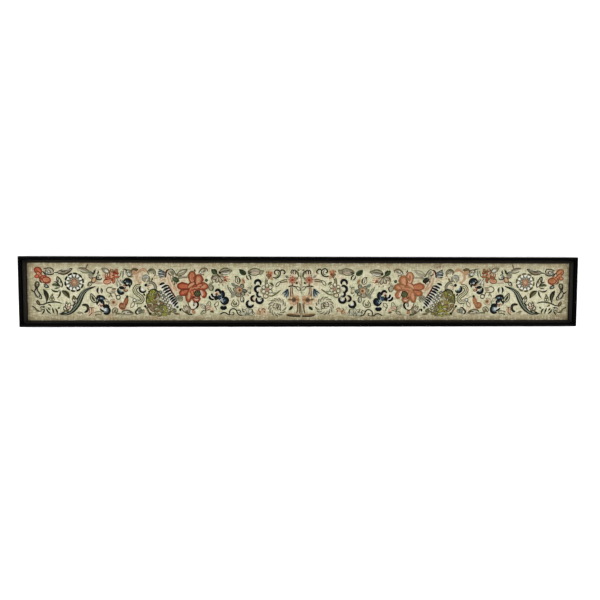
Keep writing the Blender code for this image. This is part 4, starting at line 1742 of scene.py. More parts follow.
# %% [markdown]
# ## Garden rock and long-tailed bird
# The rock is built of lobed satin pads in yellow-green, dark at their rims, with brown and green flecks
# scattered over them. The bird above it is drawn as its wing barbs: black bars with white between
# them along a slanting red line, with a rosy body, a fan of blue-grey tail feathers and grey scales below.

# %% Garden rock
ROCK_PADS = [
    ((210, 49), 10, 6, 70, LIME), ((215.5, 49), 10, 7, 110, LIME), ((221, 47.6), 10, 6, 40, OLIVE),
    ((207.4, 41.6), 11, 7, 120, LIME), ((213, 41), 11, 7, 50, LIME), ((219, 40), 11, 7, 95, OLIVE),
    ((224, 39), 10, 6, 30, GREY), ((206, 34), 10, 6, 75, LIME), ((211.4, 33), 10, 7, 130, LIME),
    ((217.6, 32), 10, 7, 20, OLIVE), ((223.6, 31), 10, 7, 100, GREY), ((229, 30), 9, 6, 50, BROWN),
    ((208.6, 26), 9, 6, -20, BROWN), ((215, 24.6), 10, 7, 40, BROWN), ((222, 23), 10, 7, -10, OLIVE),
    ((229, 23), 10, 7, 70, OLIVE), ((236, 22), 10, 7, 125, LIME), ((215, 17), 9, 6, -30, BROWN),
    ((221.6, 15), 10, 6, 25, OLIVE), ((229, 15), 10, 7, -20, OLIVE), ((236.6, 14.4), 10, 7, 40, LIME),
    ((242.4, 19), 9, 5, 80, GREY), ((217, 10.6), 9, 4, 0, OLIVE), ((226, 10), 10, 4, 0, OLIVE),
    ((235, 9.6), 10, 4, 0, LIME), ((243.4, 12.6), 7, 5, 60, OLIVE),
]
for (s, t), long, wide, way, dye in ROCK_PADS:
    foot, tip = turned((s, t), long / 2, way + 180), turned((s, t), long / 2, way)
    lobe(foot, tip, wide, dye, dark_edge, chance.uniform(-0.2, 0.2))
for k in range(96):
    (s, t), long, wide, way, dye = ROCK_PADS[k % len(ROCK_PADS)]
    where = (s + chance.uniform(-5, 5), max(t + chance.uniform(-4, 4), 10))
    points = arc(where, chance.uniform(1, 2.4), chance.uniform(0, 360), chance.uniform(90, 200), 5)
    choices = [OLIVE, LIME, LIME] if dye == LIME else [BROWN, TAWNY, OLIVE, OLIVE, LIME, GREY]
    line(points, chance.choice(choices), chance.uniform(0.8, 1.3))
strokes(INK, 1.6, [(211.6, 54), (208.6, 49.6), (206.6, 45.6)])
strokes(
    GREEN, 1.4, [(206, 44.6), (204.2, 39), (203.4, 33.6), (205, 27.6)],
    [(212, 54), (216.4, 54.2), (221.4, 53.4)],
)
strokes(INK, 1.5, [(217.4, 53.4), (222, 51.6), (226.4, 48.4)])
strokes(BROWN, 1.3, [(224.6, 47.6), (226, 43), (226.6, 38)])
strokes(
    BROWN, 1.5, [(205, 27), (208.6, 21.6), (212, 16)], [(213.6, 28.4), (219.6, 27.6), (225, 25.4)],
    [(217.4, 36.4), (221, 43), (222.4, 49)],
)
blade([(200.8, 25), (204.8, 19.8), (207.4, 14.8), (210.2, 10.8)], 3.2, BROWN, dark_edge, STRAP)
disc((201.4, 24.4), 2.2, INK)
disc((209.8, 11.6), 2.4, INK)
work("garden_rock", {LIME: OLIVE, OLIVE: LIME})

blade([(190.8, 22.8), (187.4, 18.6), (184.8, 15.2), (185.4, 11.8), (188.4, 10.2)], 3, INK, form=STRAP)
blade([(189.4, 21.8), (194.8, 21.4)], 2.6, INK)
leaf((190, 12), (195.5, 19.6), 6.4, SLATE, rim=OLIVE)
leaf((196, 12.4), (199, 19.2), 4.2, GREY, rim=OLIVE)
knot((188.4, 14), 2.4, WHITE)
strokes(PINK, 1.4, [(200.4, 18.4), (202.8, 14.6), (201.8, 11.2)])
work("rock_leaf")

# %% Long-tailed bird
BARBS = [
    ((226.4, 61.6), (235.4, 65)), ((229.8, 56.2), (241.4, 61.2)), ((232.4, 51.4), (243.8, 57)),
    ((235.2, 47.2), (246.2, 52.8)), ((238.2, 42.8), (248.8, 48.6)), ((241.2, 38.6), (251.2, 44.8)),
    ((243.6, 34.8), (253.2, 41.4)), ((246, 31.2), (255, 38.2)), ((248.6, 27.6), (256.8, 35)),
    ((251.2, 24), (258.4, 31.8)),
]
for tip, foot in BARBS:
    petal((foot[0] + 0.2, foot[1] - 2.3), (tip[0] - 1.6, tip[1] - 3.6), 2.6, WHITE, STRAP, even, 0.06)
for tip, foot in BARBS:
    petal(foot, tip, 3.9 if tip[1] > 47 else 3.2, BLACK, BAR, even, -0.06)
disc((257.2, 23.2), 2.4, GREEN)
lobe((261.8, 15.8), (261.8, 21), 3.4, BLACK)
blade([(241.2, 62), (245.2, 53.6), (249.6, 46.4), (254.8, 39.4)], 2.5, MAROON, even, STRAP)
blade([(241.6, 84.6), (243.8, 74), (248, 61), (254.8, 44.4)], 6, PINK, pale_edge)
strokes(
    BUFF, 1.3, [(241.4, 84.8), (244.8, 77.6), (247.8, 68), (251.6, 60), (256.8, 51)],
    [(240.6, 76), (242.6, 67), (246.6, 57)],
)
strokes(CREAM, 1.1, [(243, 80), (245.4, 70), (250.4, 57.6), (255, 46)])
leaf((250.8, 59), (256.2, 52), 4, BUFF, dark_edge, rim=BUFF)
blade([(244, 88.4), (240.2, 87.2), (237.8, 82.6), (236.8, 74)], 3.2, MAROON, even, STRAP)
petal((224.6, 82), (237.4, 81), 12, STEEL, DROP, even)
for k in range(5):
    foot, tip = (237.2, 83.6 - 1.5 * k), (223.6 + 0.8 * abs(k - 2), 88.8 - 3.3 * k)
    blade([tip, ((foot[0] + tip[0]) / 2, (foot[1] + tip[1]) / 2 - 0.3), foot], 2.3, BLACK, pale_tip, DROP)
    line([(tip[0] + 1.4, tip[1] - 1.8), (foot[0] - 2, foot[1] - 0.9)], WHITE if k % 2 else STEEL, 0.9)
strokes(
    BUFF, 1.1, [(237, 74.6), (231, 74.2), (226.4, 71)], [(237.6, 71.4), (232.4, 70.6), (228.6, 67.4)],
    [(238, 68.4), (234.6, 68)],
)
for s, t in (
    (228, 49.5), (232.4, 47.4), (229.4, 44.6), (234, 42.6), (238, 39.6), (231, 40), (235.4, 37), (240, 35),
    (232.4, 34.4), (237.4, 31.6), (242, 30), (235.4, 28), (240.6, 26.4), (245, 25), (243, 21.6),
):
    dye = chance.choice([WHITE, WHITE, CREAM] if s > 236 else [WHITE, GREY, STEEL, CREAM])
    lobe((s + 1.6, t - 1.6), (s - 1.4, t + 1.6), 4.2, dye, pale_edge, rim=OLIVE)
lobe((246, 33), (242.4, 29), 3.4, WHITE)
work("long_tailed_bird")

CURL = (260.8, 38)
disc(CURL, 5.6, GREY, pale_edge)
for reach, start, sweep in ((5.6, -70, 290), (3.6, -20, 240), (1.7, 20, 260)):
    line(arc(CURL, reach, start, sweep, 9), OLIVE, 1)
spray(CURL, 100, 160, 4, 1.4, 5.2, 1.2, STEEL, BLADE)
work("grey_curl")

# %% [markdown]
# ## The great peony
# The largest flower is also the most worked. Its overlapping petals are satin in vermilion and coral, each
# with a frilled edge, a dark rim and a paler heart, and the upper ones are sewn over the lower, as on the
# real cloth. A green disc sits low in the middle, and two petals curl back and show their pink lining.

# %% Great peony
PEONY_PETALS = [
    ((285, 62), (283, 85.4), 13.8, 0.04, ORANGE), ((280, 54), (261, 46), 11.4, 0, VERMILION),
    ((290.5, 49), (289.6, 31.4), 13, 0, CORAL), ((291.5, 58), (295.4, 79.4), 15.8, 0, CORAL),
    ((281, 56.6), (257.4, 59.6), 13, -0.05, VERMILION), ((281.5, 57), (275.6, 32), 10.8, -0.03, CORAL),
    ((295, 55), (303.6, 39.4), 10, 0.18, VERMILION), ((288, 58), (310.2, 58.8), 13.2, 0.04, CORAL),
]
for foot, tip, width, bow, dye in PEONY_PETALS:
    petal(foot, tip, 1.06 * width, dye, FRILLED, dark_edge, bow, RUST)
    heart = bent(foot, tip, bow)
    satin(beside(heart, 0, 0.30, 0.80), 0.34 * width, BUFF if dye == CORAL else CORAL, ROUND, even)
    for gap in (-0.27, 0.27):
        cord(beside(heart, gap * width, 0.50, 0.85), RUST, 0.5)
disc((288, 48.6), 8.6, CORAL, dark_edge, 20)
for foot, tip, width, dye in (
    ((275.5, 56), (288.8, 66.4), 6.6, ORANGE), ((281, 52.5), (292, 60.5), 6.2, VERMILION),
    ((279, 49), (284, 58.6), 5.6, CORAL), ((286, 54.5), (298, 58.4), 5.6, ORANGE),
    ((290, 58), (302, 62.4), 5, CORAL), ((284, 57.4), (294.6, 54.6), 4.4, VERMILION),
    ((284.8, 44.6), (282, 53.6), 5, VERMILION),
):
    lobe(foot, tip, width, dye, dark_edge, 0.06, rim=RUST)
lobe((297, 52.4), (300.6, 42), 3.8, PINK, pale_edge, 0.12)
lobe((286.4, 38), (293.6, 36.4), 4.2, PINK)
strokes(
    BUFF, 1, [(277, 57), (282, 60.6), (287, 65)], [(286.6, 56), (292, 57), (297, 57.6)],
    [(282.4, 54), (287, 57)],
)
strokes(
    MAROON, 1.2, [(266, 53), (272, 54), (278, 53)], [(287, 70), (288.4, 64), (292, 60)],
    [(276, 62.6), (279.6, 66)], [(284, 42), (288, 38.6), (295, 39)],
)
disc((292, 46.8), 5.4, GREEN, even)
ring((292, 46.8), 5.4, INK, 0.9)
for k in range(7):
    knot(turned((292, 46.8), 0 if k == 6 else 3, 60 * k), 1.9, OLIVE)
work("great_peony", {VERMILION: CORAL, CORAL: ORANGE, ORANGE: PEACH, BUFF: PEACH, RUST: TAWNY, MAROON: RUST})

# %% Leaves around the great peony
leaf((252, 79), (244.4, 87), 6.4, GREY)
strokes(
    INK, 1.3, [(243.6, 88.6), (247.8, 89.2), (252.2, 85), (254.6, 79.4)],
    [(241.4, 82.2), (244.6, 79.2), (248.4, 78.2)],
)
strokes(OLIVE, 1.1, [(244.4, 86), (247.6, 82), (249.8, 78.4)], [(247, 87.2), (250.2, 83), (251.8, 79)])
lobe((254.4, 77.8), (259.4, 80.8), 4.8, BROWN, dark_edge)
leaf((257, 79.6), (274.6, 89), 8.2, GREY, bend=-0.04, rim=OLIVE)
strokes(CREAM, 1.1, [(260, 82.6), (265, 84.4), (270.4, 86.6)])
lobe((249.4, 73.8), (259.6, 68), 7.6, GREEN, dark_edge, rim=GREEN)
blade([(249.4, 78.4), (250.6, 74.6), (252, 72)], 2.8, SLATE)
blade([(249, 69.8), (246.8, 66.6)], 2.4, GREEN)
blade([(252, 66.6), (252.4, 63), (250.8, 60.6)], 2.4, OLIVE)
blade([(255.6, 67), (255.2, 63)], 2, GREEN)
strokes(GREY, 1.3, [(257.4, 74.2), (266, 75.8), (276, 76.6)])
strokes(OLIVE, 1, [(258, 72.6), (266, 73.8), (275, 74.8)], [(258, 75.8), (265, 77.2)])
work("leaves_left_of_peony", {GREEN: INK, OLIVE: GREY})

blade([(286.8, 89.4), (287.6, 86.8), (289.4, 84.2)], 2.6, INK)
leaf((297, 81.2), (309.4, 88.8), 9.2, GREY, bend=0.14)
strokes(BROWN, 1.5, [(294.4, 82), (296, 85.8), (299.6, 89.4), (304.8, 91.2), (309.6, 88.6), (309, 85)])
strokes(BROWN, 1, [(296, 82.2), (299, 80.2), (304, 80.6)], [(302, 84), (306.4, 86.6)])
strokes(CREAM, 1.2, [(299, 81.6), (304.4, 83)], [(299, 86), (303, 88.4)])
knot((297.5, 83.8), 2.4, WHITE)
knot((300.8, 86.4), 1.7, WHITE)
knot((303, 78.8), 2.2, BROWN)
disc((307.6, 69.8), 2.8, GREEN)
work("bud_above_peony")

strokes(
    OLIVE, 1.2, [(320.2, 79.6), (316.4, 74.2), (317.4, 69.8), (318.6, 65.2)],
    [(323, 78.8), (319.4, 74.8), (320.2, 70.6)],
)
strokes(GREY, 1.2, [(314.4, 67.8), (317.6, 64.4), (320.8, 66.6)], [(313.4, 64.6), (316.6, 62.6)])
lobe((317, 51.8), (313.8, 62), 8, GREY, rim=OLIVE)
ring((314.4, 61.6), 2.8, GREY, 1.1)
line([(318.4, 61), (319.6, 56.4), (317.4, 52)], INK, 1.2)
petal((325.8, 80.4), (316.6, 89.2), 7.4, GREEN, PADDLE, dark_edge, 0.05)
line([(320.6, 89.6), (325.2, 86.6), (325.8, 81)], INK, 1.3)
blade([(324.4, 82.4), (328.4, 78.6), (332.4, 74.2)], 2.9, GREEN, dark_edge, STRAP)
leaf((329, 83.2), (352.4, 86.8), 10.6, GREY, rim=OLIVE)
strokes(INK, 0.9, [(333, 84.6), (341, 86.4), (348.6, 87)])
strokes(WHITE, 1.3, [(336, 81.4), (342, 81.2), (348, 83.2)])
strokes(OLIVE, 1.3, [(332, 88), (338, 90.8), (345.4, 90.8)])
leaf((328.6, 82.4), (334, 83.8), 3.8, INK, even)
work("leaves_right_of_peony")

# %% Grey bud with its orange fringe
spray((330.4, 78.4), 206, 112, 4, 1, 13.4, 6, GREY, PETAL, even, rim=BROWN)
spray((330.4, 78.4), 216, 92, 4, 4, 12, 1.1, CREAM, BLADE, even)
strokes(BROWN, 1.2, [(328.6, 63.4), (329.8, 60.2)], [(335.4, 63.4), (337.2, 60)])
strokes(CORAL, 1.2, [(338.4, 74.8), (343, 76.2), (346.8, 75.4)], [(341, 72.4), (345, 72.2), (348.8, 71.4)])
blade([(338.2, 71.8), (341.6, 69.4), (344.8, 66.4)], 3.4, RUST, even)
strokes(BUFF, 1.3, [(340.6, 66.8), (342.2, 63)], [(337, 68), (338.2, 63.8)], [(345, 69), (348.6, 67.4)])
leaf((337.4, 73.4), (342.4, 77), 3.2, CORAL)
work("grey_bud", {CORAL: PEACH})

# %% [markdown]
# ## Fan flower and the lower garden
# Between the peony and the string of crescents the colours turn cool. The fan flower is a row of black
# lobes round one broad curled petal with a blue lining. Near it a cloud scroll runs along the hem in thick
# couched lines.

# %% Navy fan flower
for points, width in (
    ([(312.4, 43), (314.2, 38.4), (320.6, 35.8)], 5), ([(317, 47.4), (317.6, 43), (321.8, 40.6)], 4.4),
    ([(322.4, 49.6), (326, 53.2), (330.4, 51.8), (331.4, 46)], 4.6),
):
    blade(points, width, BLACK, even, BAR)
strokes(
    WHITE, 1.3, [(314.8, 43.6), (316.8, 39.8), (320.8, 38.4)], [(319.6, 47), (320.4, 43.8), (322.6, 42.6)],
)
disc((326.8, 48), 2.9, PINK, pale_edge)
disc((325, 45.4), 2.3, MAROON)
lobe((333, 37), (335.2, 52.6), 8, BLACK, bend=-0.12)
leaf((333.4, 39.6), (334.4, 48), 2, BLUE)
lobe((324.9, 43.4), (323.2, 34.8), 6, BLACK)
lobe((327.6, 43), (326.9, 36), 3.8, BLACK)
lobe((328.6, 44.4), (331.8, 34.8), 6.4, NAVY, dark_edge)
disc((338, 34.4), 6.8, NAVY, even)
crescent((338.4, 34.9), 8.4, 148, BLUE, 220, 3.9)
leaf((330.6, 36.4), (336.6, 30.6), 3, STEEL, bend=0.2)
lobe((331, 22.4), (343, 22.4), 8, BLACK, bend=-0.06)
strokes(STEEL, 0.9, [(334.4, 25.8), (337.2, 24.8), (340.4, 26)])
strokes(STEEL, 1.2, [(332.6, 41), (334.4, 37.4), (337.6, 37.8)])
work("navy_fan_flower")

# %% Lotus fan and its neighbours
lobe((277.4, 26.2), (289.4, 26.2), 13, CREAM, pale_edge)
strokes(BROWN, 1.5, [(274.4, 32.4), (277, 26), (280.4, 20.4)])
strokes(MAROON, 1.6, [(279.6, 20.2), (284, 18.7), (288.4, 20.2)])
leaf((285.4, 24.4), (285.2, 32.8), 3.8, BLACK, even, -0.1)
strokes(WHITE, 0.9, [(286, 30.6), (286.4, 26.6)])
blade([(289.4, 33.4), (292.6, 29.6), (292.2, 25), (288.4, 20.2)], 3.4, BLACK, even, BAR)
for tip, width in (((263.6, 20.6), 4.4), ((267.4, 25.4), 4.8), ((272, 27.4), 4.8), ((276.6, 25.6), 4.4)):
    leaf((276.4, 11.6), tip, width, GREY, rim=BROWN)
strokes(CREAM, 1, [(266, 20.4), (271, 16.6)], [(269.4, 23.6), (273, 17.6)], [(272.8, 25), (274.8, 18.6)])
strokes(GREEN, 1.3, [(270.6, 14.4), (275.6, 10.6), (281.2, 9.6)])
leaf((278, 11.4), (283.4, 9.4), 3, GREEN, dark_edge)
leaf((283.2, 17.2), (287.2, 12.2), 4.2, BUFF, rim=ORANGE)
lobe((247.4, 15), (254.8, 17.8), 6.4, GREY, pale_edge, rim=OLIVE)
ring((251.2, 16.8), 1.9, OLIVE, 0.9)
leaf((250.6, 11.6), (261.6, 11), 3.2, BROWN, even)
leaf((241.4, 13.2), (248, 16.6), 4, OLIVE)
strokes(OLIVE, 1.1, [(244, 20.4), (248.6, 21), (253.4, 20.2)])
work("lotus_fan")

# %% Crossed leaves and the cloud scroll
open_leaf((308.4, 23.6), (312.6, 33.4), 6.6, CREAM, -0.1, OLIVE)
leaf((304.8, 20.2), (296, 28.6), 4.8, CREAM, even, rim=GREY, vein=OLIVE)
leaf((306.2, 18), (315, 24.8), 8.6, PINK, even, 0.1, rim=GREY, vein=OLIVE)
leaf((307, 16.8), (297, 10.8), 4.4, CREAM, even, rim=OLIVE, vein=OLIVE)
strokes(
    OLIVE, 1.2, [(304, 27.4), (306.2, 22), (305, 17.4)], [(309, 18), (313.4, 19.2)],
    [(298.4, 15.2), (303, 17.6)],
)
leaf((313.4, 15.6), (320.8, 13.8), 4.4, BROWN, bend=0.1)
disc((318.3, 20.4), 2.6, PINK, pale_edge)
strokes(BUFF, 1.2, [(312.6, 19.8), (316, 17.6), (321.4, 17.8)], [(314, 22.6), (317, 23.6)])
leaf((322.4, 24.6), (328.4, 32.4), 5.8, CREAM, even, rim=OLIVE)
strokes(OLIVE, 1.3, [(321, 25), (323.6, 22), (325.2, 18.2)], [(320.4, 26.8), (322.8, 29.4)])
work("crossed_leaves")

strokes(
    INK, 1.6, [(330.2, 9.8), (334, 12.2), (338, 13.8), (341.6, 12.6), (345, 10.2), (350, 9.4)],
    [
        (348, 10.4), (347.4, 13.8), (348.8, 17.6), (353, 20.2), (357, 19.6), (359.6, 16.8), (361, 13.2),
        (363.6, 10), (368, 8.6), (371.8, 10.2), (373, 13.2),
    ],
)
strokes(
    INK, 1.3, [(350, 9.2), (354.4, 9.8), (354.8, 12.8), (352, 13.6)],
    [(360.6, 17), (365, 17.8), (366.4, 15), (364, 13.4)],
)
work("cloud_scroll")

# %% Slate flower with an orange heart
for foot, tip, width, dye, rim in (
    ((367, 55.5), (371.2, 63), 6.8, GREY, INK), ((362.8, 56), (357.8, 60.8), 5.4, GREY, INK),
    ((361, 53), (354, 54.8), 5.6, GREY, OLIVE), ((361, 50), (353.6, 45.2), 6, GREY, SLATE),
    ((364, 49), (361.8, 40.8), 8.8, GREY, BROWN), ((368.5, 52), (377.8, 50.4), 6.2, SLATE, INK),
    ((368, 49), (374, 44.6), 5.4, GREY, INK),
):
    lobe(foot, tip, width, dye, pale_edge, rim=rim)
disc((364.6, 52.8), 4.8, BUFF, dark_edge)
disc((365.2, 52.6), 2.4, BROWN, even)
knot((365.2, 52.6), 2, RUST)
spray((364.8, 52.8), 10, 360, 8, 3.6, 6, 1.4, BUFF, DROP)
leaf((357.8, 59.4), (350.2, 65.4), 5.6, SLATE, even)
work("slate_flower")

leaf((363.6, 63.8), (360.4, 76.8), 8.8, CREAM, rim=OLIVE)
strokes(INK, 1.1, [(361, 74.4), (361.2, 69.6), (363.4, 65.4)], [(363.6, 73.8), (365.2, 70), (364.6, 66.2)])
blade([(356.4, 76.6), (360.8, 75.4)], 2.6, INK)
leaf((372.6, 63.6), (370.2, 74), 4.6, BUFF, rim=BUFF)
strokes(BROWN, 1, [(369.4, 70.6), (372.4, 69), (374.4, 65)])
ring((381.8, 52), 3.1, GREY, 1.2)
strokes(
    OLIVE, 1.2, [(378.6, 57), (383, 58), (385, 54.4)], [(380.2, 48.6), (383.8, 46.8), (385, 50)],
    [(378.8, 45.6), (381, 42.4)],
)
strokes(SLATE, 1.6, [(344, 61.4), (346, 55), (349.4, 49.4), (352.6, 44.4)])
strokes(OLIVE, 1.1, [(347.6, 58.6), (350.6, 52.4), (354.2, 47.4)])
leaf((357, 47.4), (350.4, 39.6), 5.2, GREY, rim=SLATE)
leaf((370.8, 31.4), (368.6, 43.2), 6.2, CREAM, even, rim=GREEN, vein=GREEN)
line([(371.6, 40.6), (372.6, 36), (370.6, 31.6)], INK, 1.4)
strokes(
    OLIVE, 1.2,
    [(355.8, 36.8), (352, 31.4), (351, 26.6), (356.4, 23.6), (363, 26.4), (363.8, 32.4), (360, 36.4)],
    [(357, 33.8), (354.4, 30), (355.8, 26.6), (359.8, 27.6), (359.8, 31.8)],
)
strokes(INK, 1, [(355.4, 29.4), (357.4, 28.2), (359, 29.8)])
work("sprigs_round_slate_flower")

# %% [markdown]
# ## String of crescents, grey flower and wreath
# Six curled petals hang in a string, five lined with white and one with pink. The wreath is a ring of pale
# slanted leaves round a cluster of knots, which is how a seed head is usually sewn.

# %% String of crescents
crescent((397, 65), 7.4, 268, WHITE, 255, 4.8)
crescent((398, 54), 8.2, 335, WHITE, 215, 4.9)
crescent((400, 45.2), 6.4, 30, WHITE, 215, 4.2)
crescent((390.2, 38), 6.8, 0, PINK, 225, 4.2)
crescent((400, 36), 8.3, 88, WHITE, 255, 5)
crescent((383.4, 28.8), 8.3, 48, WHITE, 250, 5)
strokes(SLATE, 1.2, [(398.6, 41), (402.4, 40.4), (403.4, 37.2), (400.4, 36)])
leaf((401.6, 50.4), (409, 51.6), 9.6, GREY, even, rim=GREY)
leaf((386.4, 61.6), (386.8, 55.4), 2.6, SLATE)
work("string_of_crescents")

leaf((376.2, 80.2), (365.2, 88.6), 7.6, GREEN, bend=0.05, rim=GREEN)
strokes(INK, 1.6, [(377, 78.4), (378.2, 74), (381.4, 70.4)], [(379.8, 79.6), (384, 76.2), (385, 70.2)])
strokes(CREAM, 1.1, [(379.4, 77), (381.6, 73.4), (383.2, 70.6)])
leaf((378.6, 83.4), (403.4, 85), 10.6, GREY, bend=0.04)
strokes(
    OLIVE, 1.4, [(379, 83), (386, 79.4), (395, 79), (403, 83.6)],
    [(379, 84.6), (387, 89.4), (396, 89.6), (403, 86)],
)
strokes(PINK, 1.6, [(387, 84.2), (392, 84), (397, 84.4)])
strokes(INK, 1.3, [(380, 83.4), (384.8, 80.4)], [(380.6, 84.8), (386, 83.4)])
leaf((400, 80.4), (406.8, 87.4), 5.4, GREY, rim=OLIVE)
work("top_leaves_near_middle")

# %% Grey flower and the orange one above it
spray((413, 54), 90, 360, 6, 3.4, 9.8, 6, CREAM, ROUND, pale_tip, rim=OLIVE)
disc((413.2, 53.6), 3.6, PINK, pale_edge)
spray((413.2, 53.6), 20, 360, 7, 0.8, 4.2, 1, MAROON, BLADE, even)
leaf((417.6, 65.2), (425, 59), 4, OLIVE, even, 0.1)
strokes(OLIVE, 1.4, [(410.4, 61), (410, 66), (411.8, 73.6)], [(413.4, 63), (413, 67.6), (415.4, 72)])
line([(408, 45.8), (406.4, 41.4), (410, 38.4), (414.4, 40.2), (413.8, 45)], OLIVE, 1.3, True)
lobe((410, 40), (411.4, 45.4), 3.6, PINK, pale_edge)
blade([(415.3, 42.7), (422.5, 42.7), (427.8, 45.7), (432.2, 49), (436.8, 52.6)], 2.6, OLIVE, even, STRAP)
strokes(SLATE, 1.4, [(420.4, 49.6), (424.4, 47.6), (428.4, 48.6)])
work("grey_flower")

leaf((428.8, 58.6), (436.6, 67.6), 4.6, CREAM, even, 0.05, rim=INK)
strokes(OLIVE, 1.4, [(436, 67.6), (442, 70.2), (449, 71)], [(436.6, 65.2), (443, 67), (449, 68.4)])
work("branch_leaf")

lobe((417, 78.6), (415.4, 86.4), 5.6, ORANGE, pale_edge, rim=BUFF)
lobe((418.6, 79.6), (422, 84.8), 4.8, ORANGE, pale_edge, rim=BUFF)
lobe((416.6, 78.6), (411.2, 78.8), 4.4, BROWN, dark_edge)
lobe((417.2, 77), (414.8, 72.6), 4.4, BROWN, dark_edge)
leaf((419.6, 76), (422.4, 70.2), 4.6, BUFF, rim=BUFF)
disc((419.1, 78.4), 2.4, RUST, even)
strokes(BROWN, 1.1, [(411, 82.4), (412.6, 85.6)], [(413.4, 71), (412.4, 67)])
work("small_orange_flower")

strokes(
    INK, 1.8,
    [
        (429.6, 80.2), (426.2, 82), (427, 86.2), (431, 87.8), (435.4, 85.6), (436.2, 81.2), (434.4, 77.2),
        (430.4, 74.2), (426.2, 74.2), (423.4, 76),
    ],
    [(435.8, 85.6), (439.6, 88), (443.6, 86.2), (444.4, 82.6), (441.2, 80.8)],
)
strokes(OLIVE, 1.1, [(431, 85.2), (433.4, 82), (432, 78.4), (428.6, 76.4)])
work("double_scroll")

# %% Wreath, line flower and the small fan
WREATH = (430.8, 23)
for k in range(13):
    way = 360 * k / 13
    leaf(turned(WREATH, 9.8, way), turned(WREATH, 16.4, way + 30), 4.4, CREAM, even, 0.15)
    line(
        [turned(WREATH, 9.6, way - 8), turned(WREATH, 13.6, way + 6), turned(WREATH, 16.4, way + 28)], OLIVE,
        1.1,
    )
    line(
        [turned(WREATH, 10.8, way + 6), turned(WREATH, 13.4, way + 19), turned(WREATH, 15.6, way + 28)], GREY,
        0.9,
    )
disc((430, 23.6), 6.6, GREY, even)
for k in range(28):
    where = turned((430, 23.6), 5.8 * math.sqrt((k + 0.5) / 28), 137.5 * k)
    knot(where, 2, chance.choice([SLATE, OLIVE, BROWN, GREY, PINK, CREAM]))
strokes(OLIVE, 1.1, arc((430, 23.6), 6.8, -70, 120, 8), arc((430, 23.6), 6.8, 110, 90, 6))
strokes(INK, 0.9, [(430.6, 19), (432.6, 24), (430.8, 28)], [(436.2, 16), (436.8, 19.4)])
work("wreath")

strokes(
    BUFF, 1.6, [(397, 10), (400, 13), (404, 19), (409, 20.2)],
    [(394.6, 16.4), (400, 14), (407, 15), (410, 11.4)],
)
strokes(
    BROWN, 1.2, [(400, 9), (401, 14), (398, 18), (400, 21)], [(404, 16), (406, 20.4), (411, 17.4)],
    [(395.4, 13), (399, 11)],
)
leaf((401, 13.4), (395.8, 9.6), 3.8, BUFF)
leaf((403, 15), (408.4, 19.6), 4, BUFF)
knot((408.6, 15), 2.6, BROWN)
work("line_flower")

spray((378.6, 9), 18, 144, 5, 2.5, 12.4, 5.4, CREAM, PETAL, even, rim=SLATE, vein=GREY)
strokes(
    OLIVE, 1.3, [(369.4, 21.6), (370, 17.4), (373.6, 14.6)], [(386.4, 20), (388.4, 15), (386.6, 10.4)],
    [(375, 10.6), (377, 8)], [(379, 10.6), (380.4, 8)],
)
work("slate_fan")

# %% [markdown]
# ## Tassel and flowering tree at the middle
# The two bands meet at a slim tree, which each of them shows half of, so that the joined panel looks whole.
# Its trunk is brown cord laid in pairs, over a low bank, with a red flower above and a tawny one below.

# %% Blue tassel
for tip, width in (((438, 44.6), 2.8), ((442.4, 40.2), 3), ((446.8, 37.8), 3), ((450.2, 40.2), 2.8)):
    petal((449.3, 54.8), tip, width, STEEL, DROP, dark_edge)
    blade([(449, 54.4), ((449 + tip[0]) / 2 + 0.5, (54 + tip[1]) / 2), tip], 1.7, NAVY, even)
lobe((445, 47), (449.8, 54.8), 3.8, NAVY, dark_edge)
strokes(STEEL, 0.9, [(441.4, 43.6), (446, 49)], [(445.4, 40), (447.4, 47)], [(448.8, 40.6), (448.8, 47)])
work("blue_tassel")

# %% Flowering tree
RED_FLOWER = (457.4, 70.6)
spray(RED_FLOWER, 20, 360, 8, 2.4, 8, 4.4, PINK, PETAL, even)
spray(RED_FLOWER, 42, 360, 8, 3.4, 8.2, 1.4, BROWN, BLADE, even)
spray(RED_FLOWER, 20, 360, 8, 1.6, 6.8, 1.9, CORAL, BLADE, even)
disc(RED_FLOWER, 2.4, RUST, pale_edge)
blade([(457, 64), (458.2, 60.2)], 3.2, BROWN)
petal((460.8, 80.6), (460.8, 87), 3.8, PINK, PETAL, pale_edge)
strokes(
    INK, 1.5, [(456.2, 80.6), (454.8, 84), (456.6, 87.6), (459, 87)],
    [(459, 80.6), (458.4, 85), (460.8, 88), (463.2, 85), (462.6, 80.4)],
)
blade([(463.4, 87.8), (466.8, 83), (469.2, 75)], 3, GREEN)
blade([(465.6, 88.4), (470, 87)], 2.6, GREEN)
strokes(OLIVE, 1.1, [(465, 84), (467.4, 79), (467.6, 75)], [(452.6, 79), (455, 78)])
leaf((450.8, 74.4), (444.6, 77.8), 4.8, SLATE, even)
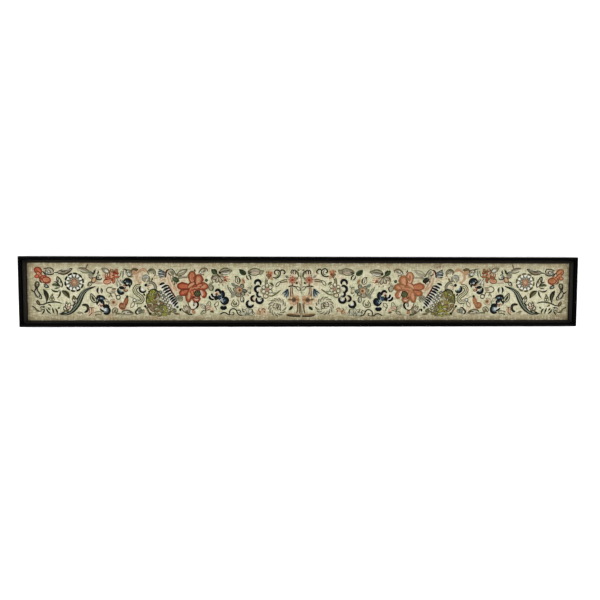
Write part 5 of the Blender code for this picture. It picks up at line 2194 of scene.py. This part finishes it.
leaf((463.4, 71.4), (467.4, 75.2), 3.8, OLIVE, dark_edge)
knot((465, 65.4), 4.4, GREEN)
strokes(INK, 1.6, [(450, 58.4), (454.8, 60), (460, 59.6), (465.6, 57.6)])
leaf((464.2, 58.6), (471.6, 52.4), 4.8, CREAM, even, rim=INK)
strokes(BROWN, 1.5, [(454.8, 58.4), (454.2, 50), (454, 41)], [(457.4, 58), (457, 51), (458.6, 44.6)])
strokes(PINK, 1.1, [(456, 57), (455.6, 50), (456, 43.6)])
work("tree_crown")

TAWNY_FLOWER = (460, 35.8)
for way, reach, width, dye in (
    (38, 10.2, 5.6, BUFF), (0, 9.6, 5.4, ORANGE), (105, 9, 4.6, BUFF), (178, 10.8, 4, OLIVE),
    (225, 9.6, 4.8, PINK), (275, 9, 4.8, PINK), (322, 9, 4.8, BUFF), (142, 8.4, 4, CREAM),
):
    lobe(turned(TAWNY_FLOWER, 3.4, way), turned(TAWNY_FLOWER, reach, way), width, dye, pale_edge, rim=BUFF)
disc(TAWNY_FLOWER, 4.3, BROWN, even)
disc(TAWNY_FLOWER, 3.4, BROWN, pale_edge)
leaf((457.8, 24.2), (451.4, 17.6), 3.6, GREEN, rim=INK)
strokes(
    BROWN, 1.8, [(466, 31.6), (466.9, 25), (466.4, 18), (464.6, 12)], [(469.4, 31), (470.2, 22), (469.6, 12)],
)
blade([(446.4, 9.6), (455, 9), (471.8, 8)], 3.6, BROWN, even, STRAP)
strokes(BUFF, 0.9, [(449, 11.6), (458, 11.4), (471, 11.4)])
strokes(INK, 1.2, [(448, 7.6), (458, 6.8), (471.6, 6.2)])
work("tree_trunk_and_flower")

# %% Thin stem beside the join
strokes(
    OLIVE, 0.9, [(472.3, 84), (472.6, 70), (472.4, 56), (472.6, 46)], [(472.5, 60), (470.5, 63), (470, 66)],
    [(472.5, 74), (470.8, 77), (470.4, 80)],
)
strokes(BROWN, 1.1, [(471.8, 30), (472.4, 20), (472.2, 8)])
work("stem_at_the_join")
